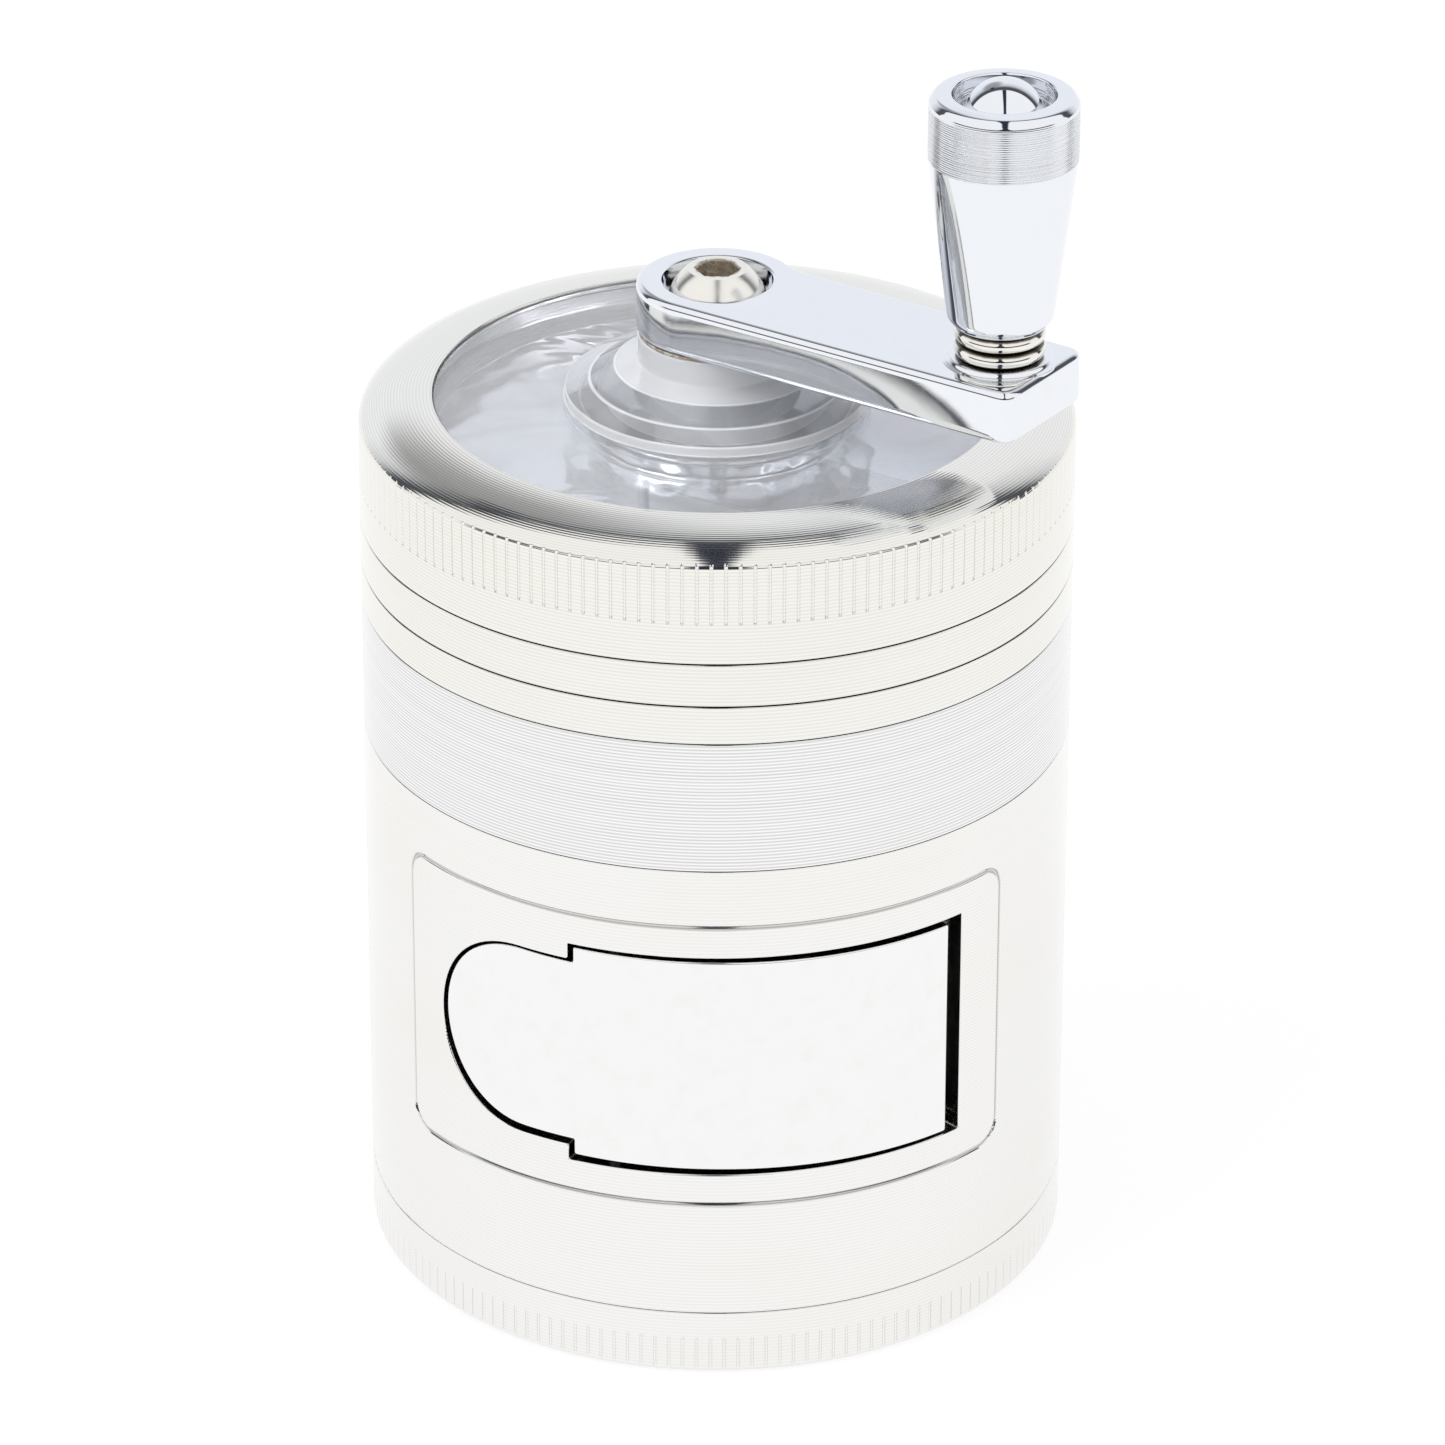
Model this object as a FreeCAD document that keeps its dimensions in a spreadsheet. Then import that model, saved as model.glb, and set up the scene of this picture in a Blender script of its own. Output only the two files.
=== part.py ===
import FreeCAD, Part
import os
import re
import Sketcher

# Driving sizes: millimetres, degrees and counts
SIZES = {
    "outer_radius": 31.5,
    "base_height": 6.35,
    "base_floor": 2.0,
    "base_edge_break": 0.6,
    "base_knurl_height": 3.7,
    "housing_height": 44.2,
    "housing_wall": 3.5,
    "deck_thickness": 2.2,
    "collector_height": 12.3,
    "sifter_height": 3.6,
    "chamber_height": 3.92,
    "chamber_floor": 2.6,
    "chamber_wall": 2.6,
    "chamber_wall_rise": 7.0,
    "lid_height": 8.83,
    "lid_crown": 2.5,
    "crown_edge_run": 0.7,
    "crown_edge_rise": 1.0,
    "crown_slope_run": 2.2,
    "crown_slope_rise": 1.8,
    "knurl_low": 3.73,
    "knurl_height": 4.8,
    "knurl_groove_radius": 0.16,
    "knurl_count": 160,
    "seam_break": 0.15,
    "open_seam_break": 0.3,
    "lip_width": 2.3,
    "spigot_wall": 2.0,
    "spigot_depth": 3.5,
    "short_spigot_depth": 2.0,
    "fit_clearance": 0.3,
    "seat_gap": 0.1,
    "slip_ring_width": 1.0,
    "slip_ring_height": 0.6,
    "sill_height": 14.05,
    "opening_height": 21.6,
    "opening_right_angle": 46.1,
    "step_angle": 21.2,
    "thumb_angle": 29.8,
    "thumb_radius": 9.3,
    "drawer_gap": 0.45,
    "drawer_end_gap_angle": 2.6,
    "front_recess": 0.15,
    "frame_angle": 55.3,
    "frame_margin": 3.0,
    "frame_groove_width": 0.5,
    "frame_groove_depth": 0.3,
    "cut_margin": 1.0,
    "pivot_setback": 3.6,
    "pivot_depth": 1.5,
    "pivot_pin_radius": 0.7,
    "pivot_pin_seat": 2.0,
    "running_clearance": 0.05,
    "tray_clearance": 0.4,
    "tray_wall": 1.2,
    "tray_floor": 1.6,
    "tray_height": 19.0,
    "swing_clearance": 0.62,
    "tray_back": 4.0,
    "tray_left": 13.0,
    "catch_radius": 2.5,
    "catch_thickness": 1.0,
    "catch_x": 8.0,
    "catch_y": 14.0,
    "chute_thickness": 1.0,
    "chute_hole_radius": 10.5,
    "chute_hole_x": 2.5,
    "chute_hole_y": 15.0,
    "mesh_lip": 0.9,
    "mesh_lip_width": 1.2,
    "mesh_thickness": 0.3,
    "mesh_retainer_height": 0.9,
    "stud_radius": 1.25,
    "stud_clearance": 0.6,
    "row_margin": 1.8,
    "row_pitch": 6.6,
    "inner_row_count": 6,
    "middle_row_count": 12,
    "outer_row_count": 18,
    "drop_hole_radius": 1.75,
    "drop_inner_row_count": 10,
    "drop_outer_row_count": 16,
    "sweep_inner_row_count": 6,
    "sweep_outer_row_count": 12,
    "rotor_wall_gap": 1.6,
    "rotor_thickness": 2.0,
    "rotor_boss_radius": 11.0,
    "rotor_boss_rise": 1.9,
    "rotor_foot_wall": 1.0,
    "rotor_floor_gap": 0.6,
    "rotor_lift": 5.15,
    "magnet_radius": 4.0,
    "magnet_thickness": 1.5,
    "shaft_radius": 3.0,
    "shaft_seat": 1.7,
    "rim_width": 6.5,
    "window_flange_width": 2.2,
    "window_flange": 1.6,
    "window_lip": 1.3,
    "window_play": 0.1,
    "window_drop": 0.3,
    "retainer_height": 1.0,
    "retainer_width": 1.6,
    "hub_rise": 5.9,
    "hub_base_radius": 13.4,
    "hub_base_rise": 0.8,
    "hub_ledge_radius": 11.2,
    "hub_ledge_rise": 1.6,
    "hub_cone_radius": 9.0,
    "hub_cone_rise": 2.9,
    "hub_neck_radius": 7.0,
    "hub_neck_rise": 3.6,
    "bush_wall": 1.5,
    "bush_flange_width": 1.4,
    "bush_flange_height": 0.5,
    "washer_radius": 6.9,
    "washer_thickness": 0.3,
    "crank_angle": -31.5,
    "arm_thickness": 4.7,
    "arm_hub_radius": 7.1,
    "arm_back_width": 5.7,
    "arm_front_width": 6.4,
    "arm_reach": 34.3,
    "arm_corner_radius": 1.0,
    "drive_width": 4.2,
    "drive_height": 1.9,
    "counterbore_radius": 4.85,
    "counterbore_depth": 2.4,
    "screw_radius": 1.5,
    "screw_length": 9.0,
    "screw_head_radius": 4.4,
    "screw_head_side": 0.6,
    "screw_crown_radius": 3.75,
    "screw_crown_rise": 2.2,
    "screw_head_height": 3.4,
    "screw_socket_radius": 2.1,
    "screw_socket_depth": 1.8,
    "knob_setback": 5.1,
    "boss_radius": 4.75,
    "boss_top_radius": 4.35,
    "boss_height": 0.4,
    "ring_radius": 3.95,
    "ring_thickness": 1.4,
    "ring_round": 0.4,
    "knob_play": 0.1,
    "knob_length": 21.0,
    "knob_foot_radius": 4.0,
    "knob_waist_radius": 4.6,
    "knob_waist_rise": 0.8,
    "knob_band_radius": 6.4,
    "knob_band_rise": 15.3,
    "knob_band_height": 5.1,
    "knob_rim_radius": 5.0,
    "knob_recess_radius": 4.2,
    "knob_recess_depth": 1.7,
    "knob_pin_radius": 2.0,
    "knob_pin_seat": 3.6,
    "pin_head_radius": 3.6,
    "pin_head_side": 0.3,
    "pin_shoulder_radius": 3.1,
    "pin_shoulder_rise": 1.15,
    "pin_crown_radius": 2.2,
    "pin_crown_rise": 2.1,
    "pin_head_height": 2.85,
}

# Heights of the seams, each from the pieces stacked below it
HOUSING = "base_height"
COLLECTOR = HOUSING + " + housing_height"
SIFTER = COLLECTOR + " + collector_height"
CHAMBER = SIFTER + " + sifter_height"
LID = CHAMBER + " + chamber_height"
SHOULDER = LID + " + lid_height"
WINDOW = SHOULDER + " + lid_crown"
FACE = WINDOW + " - window_drop"
PANE = WINDOW + " - window_lip - window_flange"
HUB_TOP = FACE + " + hub_rise"
ARM = HUB_TOP + " + washer_thickness"
ARM_TOP = ARM + " + arm_thickness"
BOSS = ARM_TOP + " + boss_height"
KNOB = BOSS + " + 2 * ring_thickness + knob_play"
KNOB_TOP = KNOB + " + knob_length"
SILL = HOUSING + " + sill_height"
LINTEL = SILL + " + opening_height"
CHAMBER_FLOOR = CHAMBER + " + chamber_floor"
ROTOR = CHAMBER_FLOOR + " + rotor_lift"
ROTOR_TOP = ROTOR + " + rotor_thickness"
ROTOR_FOOT = CHAMBER_FLOOR + " + rotor_floor_gap"
SHAFT_FOOT = ROTOR + " - shaft_seat"
SCREW_SEAT = ARM_TOP + " - counterbore_depth"

# Radii that several pieces share
SPIGOT = "outer_radius - lip_width"
SOCKET = SPIGOT + " + fit_clearance"
SPIGOT_BORE = SPIGOT + " - spigot_wall"
INSIDE = "outer_radius - housing_wall"
TRAY_RADIUS = INSIDE + " - tray_clearance"
FRONT_RADIUS = "outer_radius - front_recess"
CUT_RADIUS = "outer_radius + cut_margin"
CHAMBER_OUTSIDE = SPIGOT
CHAMBER_INSIDE = CHAMBER_OUTSIDE + " - chamber_wall"
LID_BORE = CHAMBER_OUTSIDE + " + fit_clearance"
WINDOW_RADIUS = "outer_radius - rim_width"
FLANGE_RADIUS = WINDOW_RADIUS + " + window_flange_width"
PANE_BORE = FLANGE_RADIUS + " + window_play"
BUSH_RADIUS = "shaft_radius + running_clearance + bush_wall"
ROTOR_RADIUS = CHAMBER_INSIDE + " - rotor_wall_gap"
ROTOR_FOOT_RADIUS = "magnet_radius + rotor_foot_wall"

# Rows of studs, counted in from the rotor's edge, and the rows midway between them
OUTER_ROW = ROTOR_RADIUS + " - row_margin"
MIDDLE_ROW = OUTER_ROW + " - row_pitch"
INNER_ROW = OUTER_ROW + " - 2 * row_pitch"
OUTER_GAP_ROW = OUTER_ROW + " - row_pitch / 2"
INNER_GAP_ROW = OUTER_ROW + " - 3 * row_pitch / 2"

# Where the drawer turns, on a pin inside the front wall
PIVOT_RADIUS = "outer_radius - pivot_depth"
PIVOT_ANGLE = "step_angle - (drawer_gap + pivot_setback) / outer_radius * 180 / pi"
PIVOT_X = f"-({PIVOT_RADIUS}) * sin(({PIVOT_ANGLE}) * 1 deg)"
PIVOT_Y = f"-({PIVOT_RADIUS}) * cos(({PIVOT_ANGLE}) * 1 deg)"

# How far the tray may reach from the pin: to the far edge of the hole, less a clearance
JAMB_ANGLE = f"(opening_right_angle + {PIVOT_ANGLE}) * 1 deg"
JAMB_SQUARE = (f"({INSIDE}) * ({INSIDE}) + ({PIVOT_RADIUS}) * ({PIVOT_RADIUS})"
               f" - 2 * ({INSIDE}) * ({PIVOT_RADIUS}) * cos({JAMB_ANGLE})")
TRAY_REACH = f"sqrt({JAMB_SQUARE}) - swing_clearance"

# Where the knob stands, out along the crank arm
KNOB_OFFSET = "arm_reach - knob_setback"
KNOB_X = f"({KNOB_OFFSET}) * cos(crank_angle * 1 deg)"
KNOB_Y = f"({KNOB_OFFSET}) * sin(crank_angle * 1 deg)"

FUNCTIONS = ("sin", "cos", "sqrt", "pi", "deg")
AXIS_X = FreeCAD.Vector(1, 0, 0)
AXIS_Z = FreeCAD.Vector(0, 0, 1)

doc = FreeCAD.newDocument("grinder")
sheet = doc.addObject("Spreadsheet::Sheet", "Sizes")
for row, (word, size) in enumerate(SIZES.items(), start=1):
    sheet.set(f"A{row}", word)
    sheet.set(f"B{row}", str(size))
    sheet.setAlias(f"B{row}", word)
doc.recompute()

nodes = []


def formula(text):
    """Write a formula of plain words as one that reads the sheet's cells."""
    def cell(match):
        word = match.group(0)
        return word if word in FUNCTIONS else "Sizes." + word
    return re.sub(r"[a-z_]+", cell, text)


def number(text):
    """Work out a formula's present value."""
    value = sheet.evalExpression(formula(text))
    return float(getattr(value, "Value", value))


def bind(thing, **properties):
    """Tie properties to formulas; two underscores in a name stand for a dot."""
    for name, text in properties.items():
        thing.setExpression(name.replace("__", "."), formula(text))
    return thing


def place(thing, x="0", y="0", z="0", turn=None):
    """Tie a piece's position, and its turn about Z, to formulas."""
    bind(thing, Placement__Base__x=x, Placement__Base__y=y, Placement__Base__z=z)
    if turn is not None:
        thing.Placement = FreeCAD.Placement(FreeCAD.Vector(), FreeCAD.Rotation(AXIS_Z, 1))
        bind(thing, Placement__Rotation__Angle=turn)
    return thing


def node(thing, label):
    """Name a finished sub-part and keep it for export."""
    thing.Label = label
    nodes.append(thing)
    return thing


def plane(body, role):
    """Find one of a body's own origin planes or axes."""
    return next(item for item in body.Origin.OriginFeatures if item.Role == role)


def outline(body, name, points, role="XZ_Plane"):
    """Draw a closed sketch whose corners, given as pairs of formulas, are each dimensioned from the origin."""
    sketch = body.newObject("Sketcher::SketchObject", name)
    sketch.AttachmentSupport = (plane(body, role), [""])
    sketch.MapMode = "FlatFace"
    corners = [FreeCAD.Vector(number(across), number(along), 0) for across, along in points]
    for index, corner in enumerate(corners):
        sketch.addGeometry(Part.LineSegment(corner, corners[(index + 1) % len(corners)]), False)
    for index in range(len(corners)):
        following = (index + 1) % len(corners)
        sketch.addConstraint(Sketcher.Constraint("Coincident", index, 2, following, 1))
    for index, (across, along) in enumerate(points):
        for kind, text, axis in (("DistanceX", across, -2), ("DistanceY", along, -1)):
            if text == "0":
                sketch.addConstraint(Sketcher.Constraint("PointOnObject", index, 1, axis))
                continue
            if number(text) > 0:
                rule = sketch.addConstraint(Sketcher.Constraint(kind, -1, 1, index, 1, number(text)))
            else:
                text = f"-({text})"
                rule = sketch.addConstraint(Sketcher.Constraint(kind, index, 1, -1, 1, number(text)))
            title = f"{name}_{kind}_{index}"
            sketch.renameConstraint(rule, title)
            sketch.setExpression("Constraints." + title, formula(text))
    return sketch


def turned(name, points):
    """Make a body by turning an outline of radius and height pairs about Z."""
    body = doc.addObject("PartDesign::Body", name)
    sketch = outline(body, name + "_outline", points)
    spin = body.newObject("PartDesign::Revolution", name + "_turn")
    spin.Profile = sketch
    spin.ReferenceAxis = (sketch, ["V_Axis"])
    spin.Angle = 360
    body.Tip = spin
    doc.recompute()
    return body


def spread(body, name, feature, count):
    """Repeat a feature evenly round Z."""
    pattern = body.newObject("PartDesign::PolarPattern", name)
    pattern.Originals = [feature]
    pattern.Axis = (plane(body, "Z_Axis"), [""])
    pattern.Angle = 360
    bind(pattern, Occurrences=count)
    body.Tip = pattern
    doc.recompute()


def ring_of_studs(body, name, radius, count, low, high):
    """Add a ring of diamond studs, pointed along the radius, between two heights."""
    corners = [(f"{radius} - stud_radius", "0"), (radius, "-stud_radius"),
               (f"{radius} + stud_radius", "0"), (radius, "stud_radius")]
    sketch = outline(body, name + "_outline", corners, "XY_Plane")
    bind(sketch, AttachmentOffset__Base__z=low)
    stud = body.newObject("PartDesign::Pad", name + "_stud")
    stud.Profile = sketch
    bind(stud, Length=f"({high}) - ({low})")
    body.Tip = stud
    doc.recompute()
    spread(body, name + "_ring", stud, count)


def ring_of_holes(body, name, radius, hole, count, low, depth):
    """Drill a ring of round holes up from one height, the first on X."""
    sketch = body.newObject("Sketcher::SketchObject", name + "_outline")
    sketch.AttachmentSupport = (plane(body, "XY_Plane"), [""])
    sketch.MapMode = "FlatFace"
    bind(sketch, AttachmentOffset__Base__z=low)
    middle = FreeCAD.Vector(number(radius), 0, 0)
    sketch.addGeometry(Part.Circle(middle, AXIS_Z, number(hole)), False)
    sketch.addConstraint(Sketcher.Constraint("PointOnObject", 0, 3, -1))
    far = sketch.addConstraint(Sketcher.Constraint("DistanceX", -1, 1, 0, 3, number(radius)))
    wide = sketch.addConstraint(Sketcher.Constraint("Radius", 0, number(hole)))
    sketch.renameConstraint(far, name + "_far")
    sketch.renameConstraint(wide, name + "_wide")
    sketch.setExpression("Constraints." + name + "_far", formula(radius))
    sketch.setExpression("Constraints." + name + "_wide", formula(hole))
    before = body.Shape.Volume
    drill = body.newObject("PartDesign::Pocket", name + "_drill")
    drill.Profile = sketch
    drill.Reversed = True
    bind(drill, Length=depth)
    body.Tip = drill
    doc.recompute()
    if body.Shape.Volume >= before:
        raise RuntimeError(name + " cuts nothing")
    spread(body, name + "_ring", drill, count)


def cylinder(name, radius, height, x="0", y="0", z="0", turn=None, angle=None):
    """Make a round bar, or a sector of one, standing on a height."""
    bar = doc.addObject("Part::Cylinder", name)
    bind(bar, Radius=radius, Height=height)
    if angle is not None:
        bind(bar, Angle=angle)
    return place(bar, x, y, z, turn)


def box(name, length, width, height, x, y, z, turn=None):
    """Make a block from its low corner."""
    block = doc.addObject("Part::Box", name)
    bind(block, Length=length, Width=width, Height=height)
    return place(block, x, y, z, turn)


def fused(name, *pieces):
    """Join several solids into one."""
    joined = doc.addObject("Part::MultiFuse", name)
    joined.Shapes = list(pieces)
    joined.Refine = True
    return joined


def shared(name, *pieces):
    """Keep what several solids have in common."""
    common = doc.addObject("Part::MultiCommon", name)
    common.Shapes = list(pieces)
    return common


def cut(name, base, *tools):
    """Cut one or more solids out of another."""
    result = doc.addObject("Part::Cut", name)
    result.Base = base
    result.Tool = tools[0] if len(tools) == 1 else fused(name + "_tools", *tools)
    return result


def sector(name, low_radius, high_radius, start, sweep, z, height):
    """Make an arc of a ring, measured from the front and counted positive to the right."""
    turn = f"{start} - 90"
    whole = cylinder(name + "_whole", high_radius, height, z=z, turn=turn, angle=sweep)
    core = cylinder(name + "_core", low_radius, height, z=z)
    return cut(name, whole, core)


def drawer_shape(name, low_radius, high_radius, margin, end_gap):
    """Make the drawer's face: a wide panel, a narrower strip to its left and a round thumb end.

    The same shape, with the gap left out, is the hole in the wall that it closes.
    """
    arc = f"({margin}) / outer_radius * 180 / pi"
    panel_start = f"-step_angle + {arc}"
    panel_sweep = f"opening_right_angle + step_angle - {arc} - ({end_gap})"
    panel = sector(name + "_panel", low_radius, high_radius, panel_start, panel_sweep,
                   f"{SILL} + {margin}", f"opening_height - 2 * ({margin})")
    middle = f"{SILL} + opening_height / 2"
    radius = f"thumb_radius - ({margin})"
    strip = sector(name + "_strip", low_radius, high_radius, "-thumb_angle", "thumb_angle",
                   f"{middle} - ({radius})", f"2 * ({radius})")
    barrel = doc.addObject("Part::Cylinder", name + "_barrel")
    bind(barrel, Radius=radius, Height="outer_radius + housing_wall")
    barrel.Placement.Rotation = FreeCAD.Rotation(AXIS_X, 90)
    bind(barrel, Placement__Base__z=middle)
    aimed = doc.addObject("Part::Compound", name + "_aimed_barrel")
    aimed.Links = [barrel]
    place(aimed, turn="-thumb_angle")
    ring = sector(name + "_band", low_radius, high_radius, "-frame_angle", "frame_angle",
                  f"{middle} - ({radius})", f"2 * ({radius})")
    thumb = shared(name + "_thumb", ring, aimed)
    return fused(name, panel, strip, thumb)


# Base cap, a shallow bowl that closes the foot
base_cap = turned("base_cap", [
    ("0", "0"),
    ("outer_radius - base_edge_break", "0"),
    ("outer_radius", "base_edge_break"),
    ("outer_radius", HOUSING + " - seam_break"),
    ("outer_radius - seam_break", HOUSING),
    (SPIGOT, HOUSING),
    (SPIGOT, HOUSING + " + spigot_depth"),
    (SPIGOT_BORE, HOUSING + " + spigot_depth"),
    (SPIGOT_BORE, "base_floor"),
    ("0", "base_floor"),
])
ring_of_holes(base_cap, "base_knurl", "outer_radius", "knurl_groove_radius", "knurl_count",
              "0", "base_knurl_height")
node(base_cap, "base_cap")

# Drawer housing, with a deck under the drawer and a hole in its wall
CHUTE = COLLECTOR + " - spigot_depth - seat_gap - chute_thickness"
SHELF = SILL + " - deck_thickness"
FOOT_SHOULDER = HOUSING + " + spigot_depth + seat_gap"
shell = turned("housing_shell", [
    (SOCKET, HOUSING),
    ("outer_radius - seam_break", HOUSING),
    ("outer_radius", HOUSING + " + seam_break"),
    ("outer_radius", COLLECTOR + " - seam_break"),
    ("outer_radius - seam_break", COLLECTOR),
    (SOCKET, COLLECTOR),
    (SOCKET, CHUTE),
    (INSIDE, CHUTE),
    (INSIDE, SILL),
    ("0", SILL),
    ("0", SHELF),
    (INSIDE, SHELF),
    (INSIDE, FOOT_SHOULDER),
    (SOCKET, FOOT_SHOULDER),
])
opening = drawer_shape("opening", INSIDE + " - cut_margin", CUT_RADIUS, "0", "0")
GROOVE_FLOOR = "outer_radius - frame_groove_depth"
FRAME_LOW = SILL + " - frame_margin"
FRAME_HIGH = LINTEL + " + frame_margin"
groove_low = sector("groove_low", GROOVE_FLOOR, CUT_RADIUS, "-frame_angle", "2 * frame_angle",
                    FRAME_LOW + " - frame_groove_width / 2", "frame_groove_width")
groove_high = sector("groove_high", GROOVE_FLOOR, CUT_RADIUS, "-frame_angle", "2 * frame_angle",
                     FRAME_HIGH + " - frame_groove_width / 2", "frame_groove_width")
GROOVE_SWEEP = "frame_groove_width / outer_radius * 180 / pi"
grooves = [groove_low, groove_high]
for side, middle in (("left", "-frame_angle"), ("right", "frame_angle")):
    grooves.append(sector("groove_" + side, GROOVE_FLOOR, CUT_RADIUS,
                          f"{middle} - {GROOVE_SWEEP} / 2", GROOVE_SWEEP,
                          FRAME_LOW + " - frame_groove_width / 2",
                          "opening_height + 2 * frame_margin + frame_groove_width"))
PIN_FOOT = SILL + " - pivot_pin_seat"
PIN_LENGTH = "opening_height + 2 * pivot_pin_seat"
pin_hole = cylinder("pin_hole", "pivot_pin_radius", PIN_LENGTH, PIVOT_X, PIVOT_Y, PIN_FOOT)
catch_seat = cylinder("catch_seat", "catch_radius", "catch_thickness", "catch_x", "-catch_y",
                      SILL + " - catch_thickness")
housing = cut("housing", shell, opening, pin_hole, catch_seat, *grooves)
node(housing, "drawer_housing")

# Pin that the drawer turns on, held above and below the hole
pin = cylinder("pivot_pin", "pivot_pin_radius", PIN_LENGTH, PIVOT_X, PIVOT_Y, PIN_FOOT)
node(pin, "drawer_pivot_pin")

# Magnets that hold the drawer shut
catch = cylinder("catch", "catch_radius", "catch_thickness", "catch_x", "-catch_y",
                 SILL + " - catch_thickness")
node(catch, "catch_magnet")
DRAWER_FLOOR = SILL + " + drawer_gap"
puller = cylinder("puller", "catch_radius", "catch_thickness", "catch_x", "-catch_y", DRAWER_FLOOR)
node(puller, "drawer_magnet")

# Drawer front, as thick as the wall, and the tray behind it
face = drawer_shape("face", TRAY_RADIUS, FRONT_RADIUS, "drawer_gap", "drawer_end_gap_angle")
pin_bore = cylinder("pin_bore", "pivot_pin_radius + running_clearance", PIN_LENGTH,
                    PIVOT_X, PIVOT_Y, PIN_FOOT)
front = cut("front", face, pin_bore)
node(front, "drawer_front")


def tray_block(name, inset, z, height):
    """Make the tray's plan: inside the wall, within the pin's sweep, ahead of its back and right of its left end."""
    inner = cylinder(name + "_round", f"{TRAY_RADIUS} - ({inset})", height, z=z)
    swing = cylinder(name + "_swing", f"{TRAY_REACH} - ({inset})", height, PIVOT_X, PIVOT_Y, z)
    block = box(name + "_block", "tray_left + outer_radius", f"outer_radius - tray_back - ({inset})", height,
                f"-tray_left + ({inset})", "-outer_radius", z)
    return shared(name, inner, swing, block)


tray_solid = tray_block("tray_solid", "0", DRAWER_FLOOR, "tray_height")
tray_hollow = tray_block("tray_hollow", "tray_wall", DRAWER_FLOOR + " + tray_floor", "tray_height")
pull_seat = cylinder("pull_seat", "catch_radius", "catch_thickness", "catch_x", "-catch_y", DRAWER_FLOOR)
tray = cut("tray", tray_solid, tray_hollow, pull_seat)
node(tray, "drawer_tray")

# Chute plate, which drops the powder into the tray
plate = cylinder("plate", SOCKET + " - seat_gap", "chute_thickness", z=CHUTE)
chute_hole = cylinder("chute_hole", "chute_hole_radius", "chute_thickness", "chute_hole_x", "-chute_hole_y",
                      CHUTE)
chute = cut("chute", plate, chute_hole)
node(chute, "chute_plate")

# Collector ring
collector = turned("collector", [
    (SPIGOT_BORE, COLLECTOR + " - spigot_depth"),
    (SPIGOT, COLLECTOR + " - spigot_depth"),
    (SPIGOT, COLLECTOR),
    ("outer_radius - seam_break", COLLECTOR),
    ("outer_radius", COLLECTOR + " + seam_break"),
    ("outer_radius", SIFTER + " - seam_break"),
    ("outer_radius - seam_break", SIFTER),
    (SOCKET, SIFTER),
    (SOCKET, SIFTER + " - spigot_depth - seat_gap"),
    (SPIGOT_BORE, SIFTER + " - spigot_depth - seat_gap"),
])
node(collector, "collector_ring")

# Sifter ring, its mesh and the ring that holds the mesh down
MESH_SEAT = SIFTER + " - spigot_depth + mesh_lip"
MESH_OPENING = SPIGOT_BORE + " - mesh_lip_width"
sifter = turned("sifter", [
    (MESH_OPENING, SIFTER + " - spigot_depth"),
    (SPIGOT, SIFTER + " - spigot_depth"),
    (SPIGOT, SIFTER),
    ("outer_radius - seam_break", SIFTER),
    ("outer_radius", SIFTER + " + seam_break"),
    ("outer_radius", CHAMBER + " - open_seam_break"),
    ("outer_radius - open_seam_break", CHAMBER),
    (SOCKET, CHAMBER),
    (SOCKET, CHAMBER + " - short_spigot_depth - seat_gap"),
    (SPIGOT_BORE, CHAMBER + " - short_spigot_depth - seat_gap"),
    (SPIGOT_BORE, MESH_SEAT),
    (MESH_OPENING, MESH_SEAT),
])
node(sifter, "sifter_ring")
mesh = cylinder("mesh", SPIGOT_BORE, "mesh_thickness", z=MESH_SEAT)
node(mesh, "sieve_mesh")
MESH_TOP = MESH_SEAT + " + mesh_thickness"
mesh_retainer = turned("mesh_retainer", [
    (MESH_OPENING, MESH_TOP),
    (SPIGOT_BORE, MESH_TOP),
    (SPIGOT_BORE, MESH_TOP + " + mesh_retainer_height"),
    (MESH_OPENING, MESH_TOP + " + mesh_retainer_height"),
])
node(mesh_retainer, "mesh_retainer")

# Grinding chamber, with drop holes between its rows of studs
chamber = turned("chamber", [
    ("0", CHAMBER),
    (SPIGOT_BORE, CHAMBER),
    (SPIGOT_BORE, CHAMBER + " - short_spigot_depth"),
    (SPIGOT, CHAMBER + " - short_spigot_depth"),
    (SPIGOT, CHAMBER),
    ("outer_radius - open_seam_break", CHAMBER),
    ("outer_radius", CHAMBER + " + open_seam_break"),
    ("outer_radius", LID + " - open_seam_break"),
    ("outer_radius - open_seam_break", LID),
    (CHAMBER_OUTSIDE, LID),
    (CHAMBER_OUTSIDE, LID + " + chamber_wall_rise"),
    (CHAMBER_INSIDE, LID + " + chamber_wall_rise"),
    (CHAMBER_INSIDE, CHAMBER_FLOOR),
    ("magnet_radius", CHAMBER_FLOOR),
    ("magnet_radius", CHAMBER_FLOOR + " - magnet_thickness"),
    ("0", CHAMBER_FLOOR + " - magnet_thickness"),
])
for row, radius in (("inner", INNER_GAP_ROW), ("outer", OUTER_GAP_ROW)):
    ring_of_holes(chamber, f"drop_{row}", radius, "drop_hole_radius", f"drop_{row}_row_count",
                  CHAMBER, "chamber_floor")
node(chamber, "grinding_chamber")
chamber_magnet = cylinder("lower_magnet", "magnet_radius", "magnet_thickness",
                          z=CHAMBER_FLOOR + " - magnet_thickness")
node(chamber_magnet, "chamber_magnet")
chamber_studs = doc.addObject("PartDesign::Body", "chamber_studs")
for row, radius in (("inner", INNER_ROW), ("middle", MIDDLE_ROW), ("outer", OUTER_ROW)):
    ring_of_studs(chamber_studs, f"fixed_{row}", radius, f"{row}_row_count",
                  CHAMBER_FLOOR, ROTOR + " - stud_clearance")
node(chamber_studs, "chamber_studs")

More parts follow.
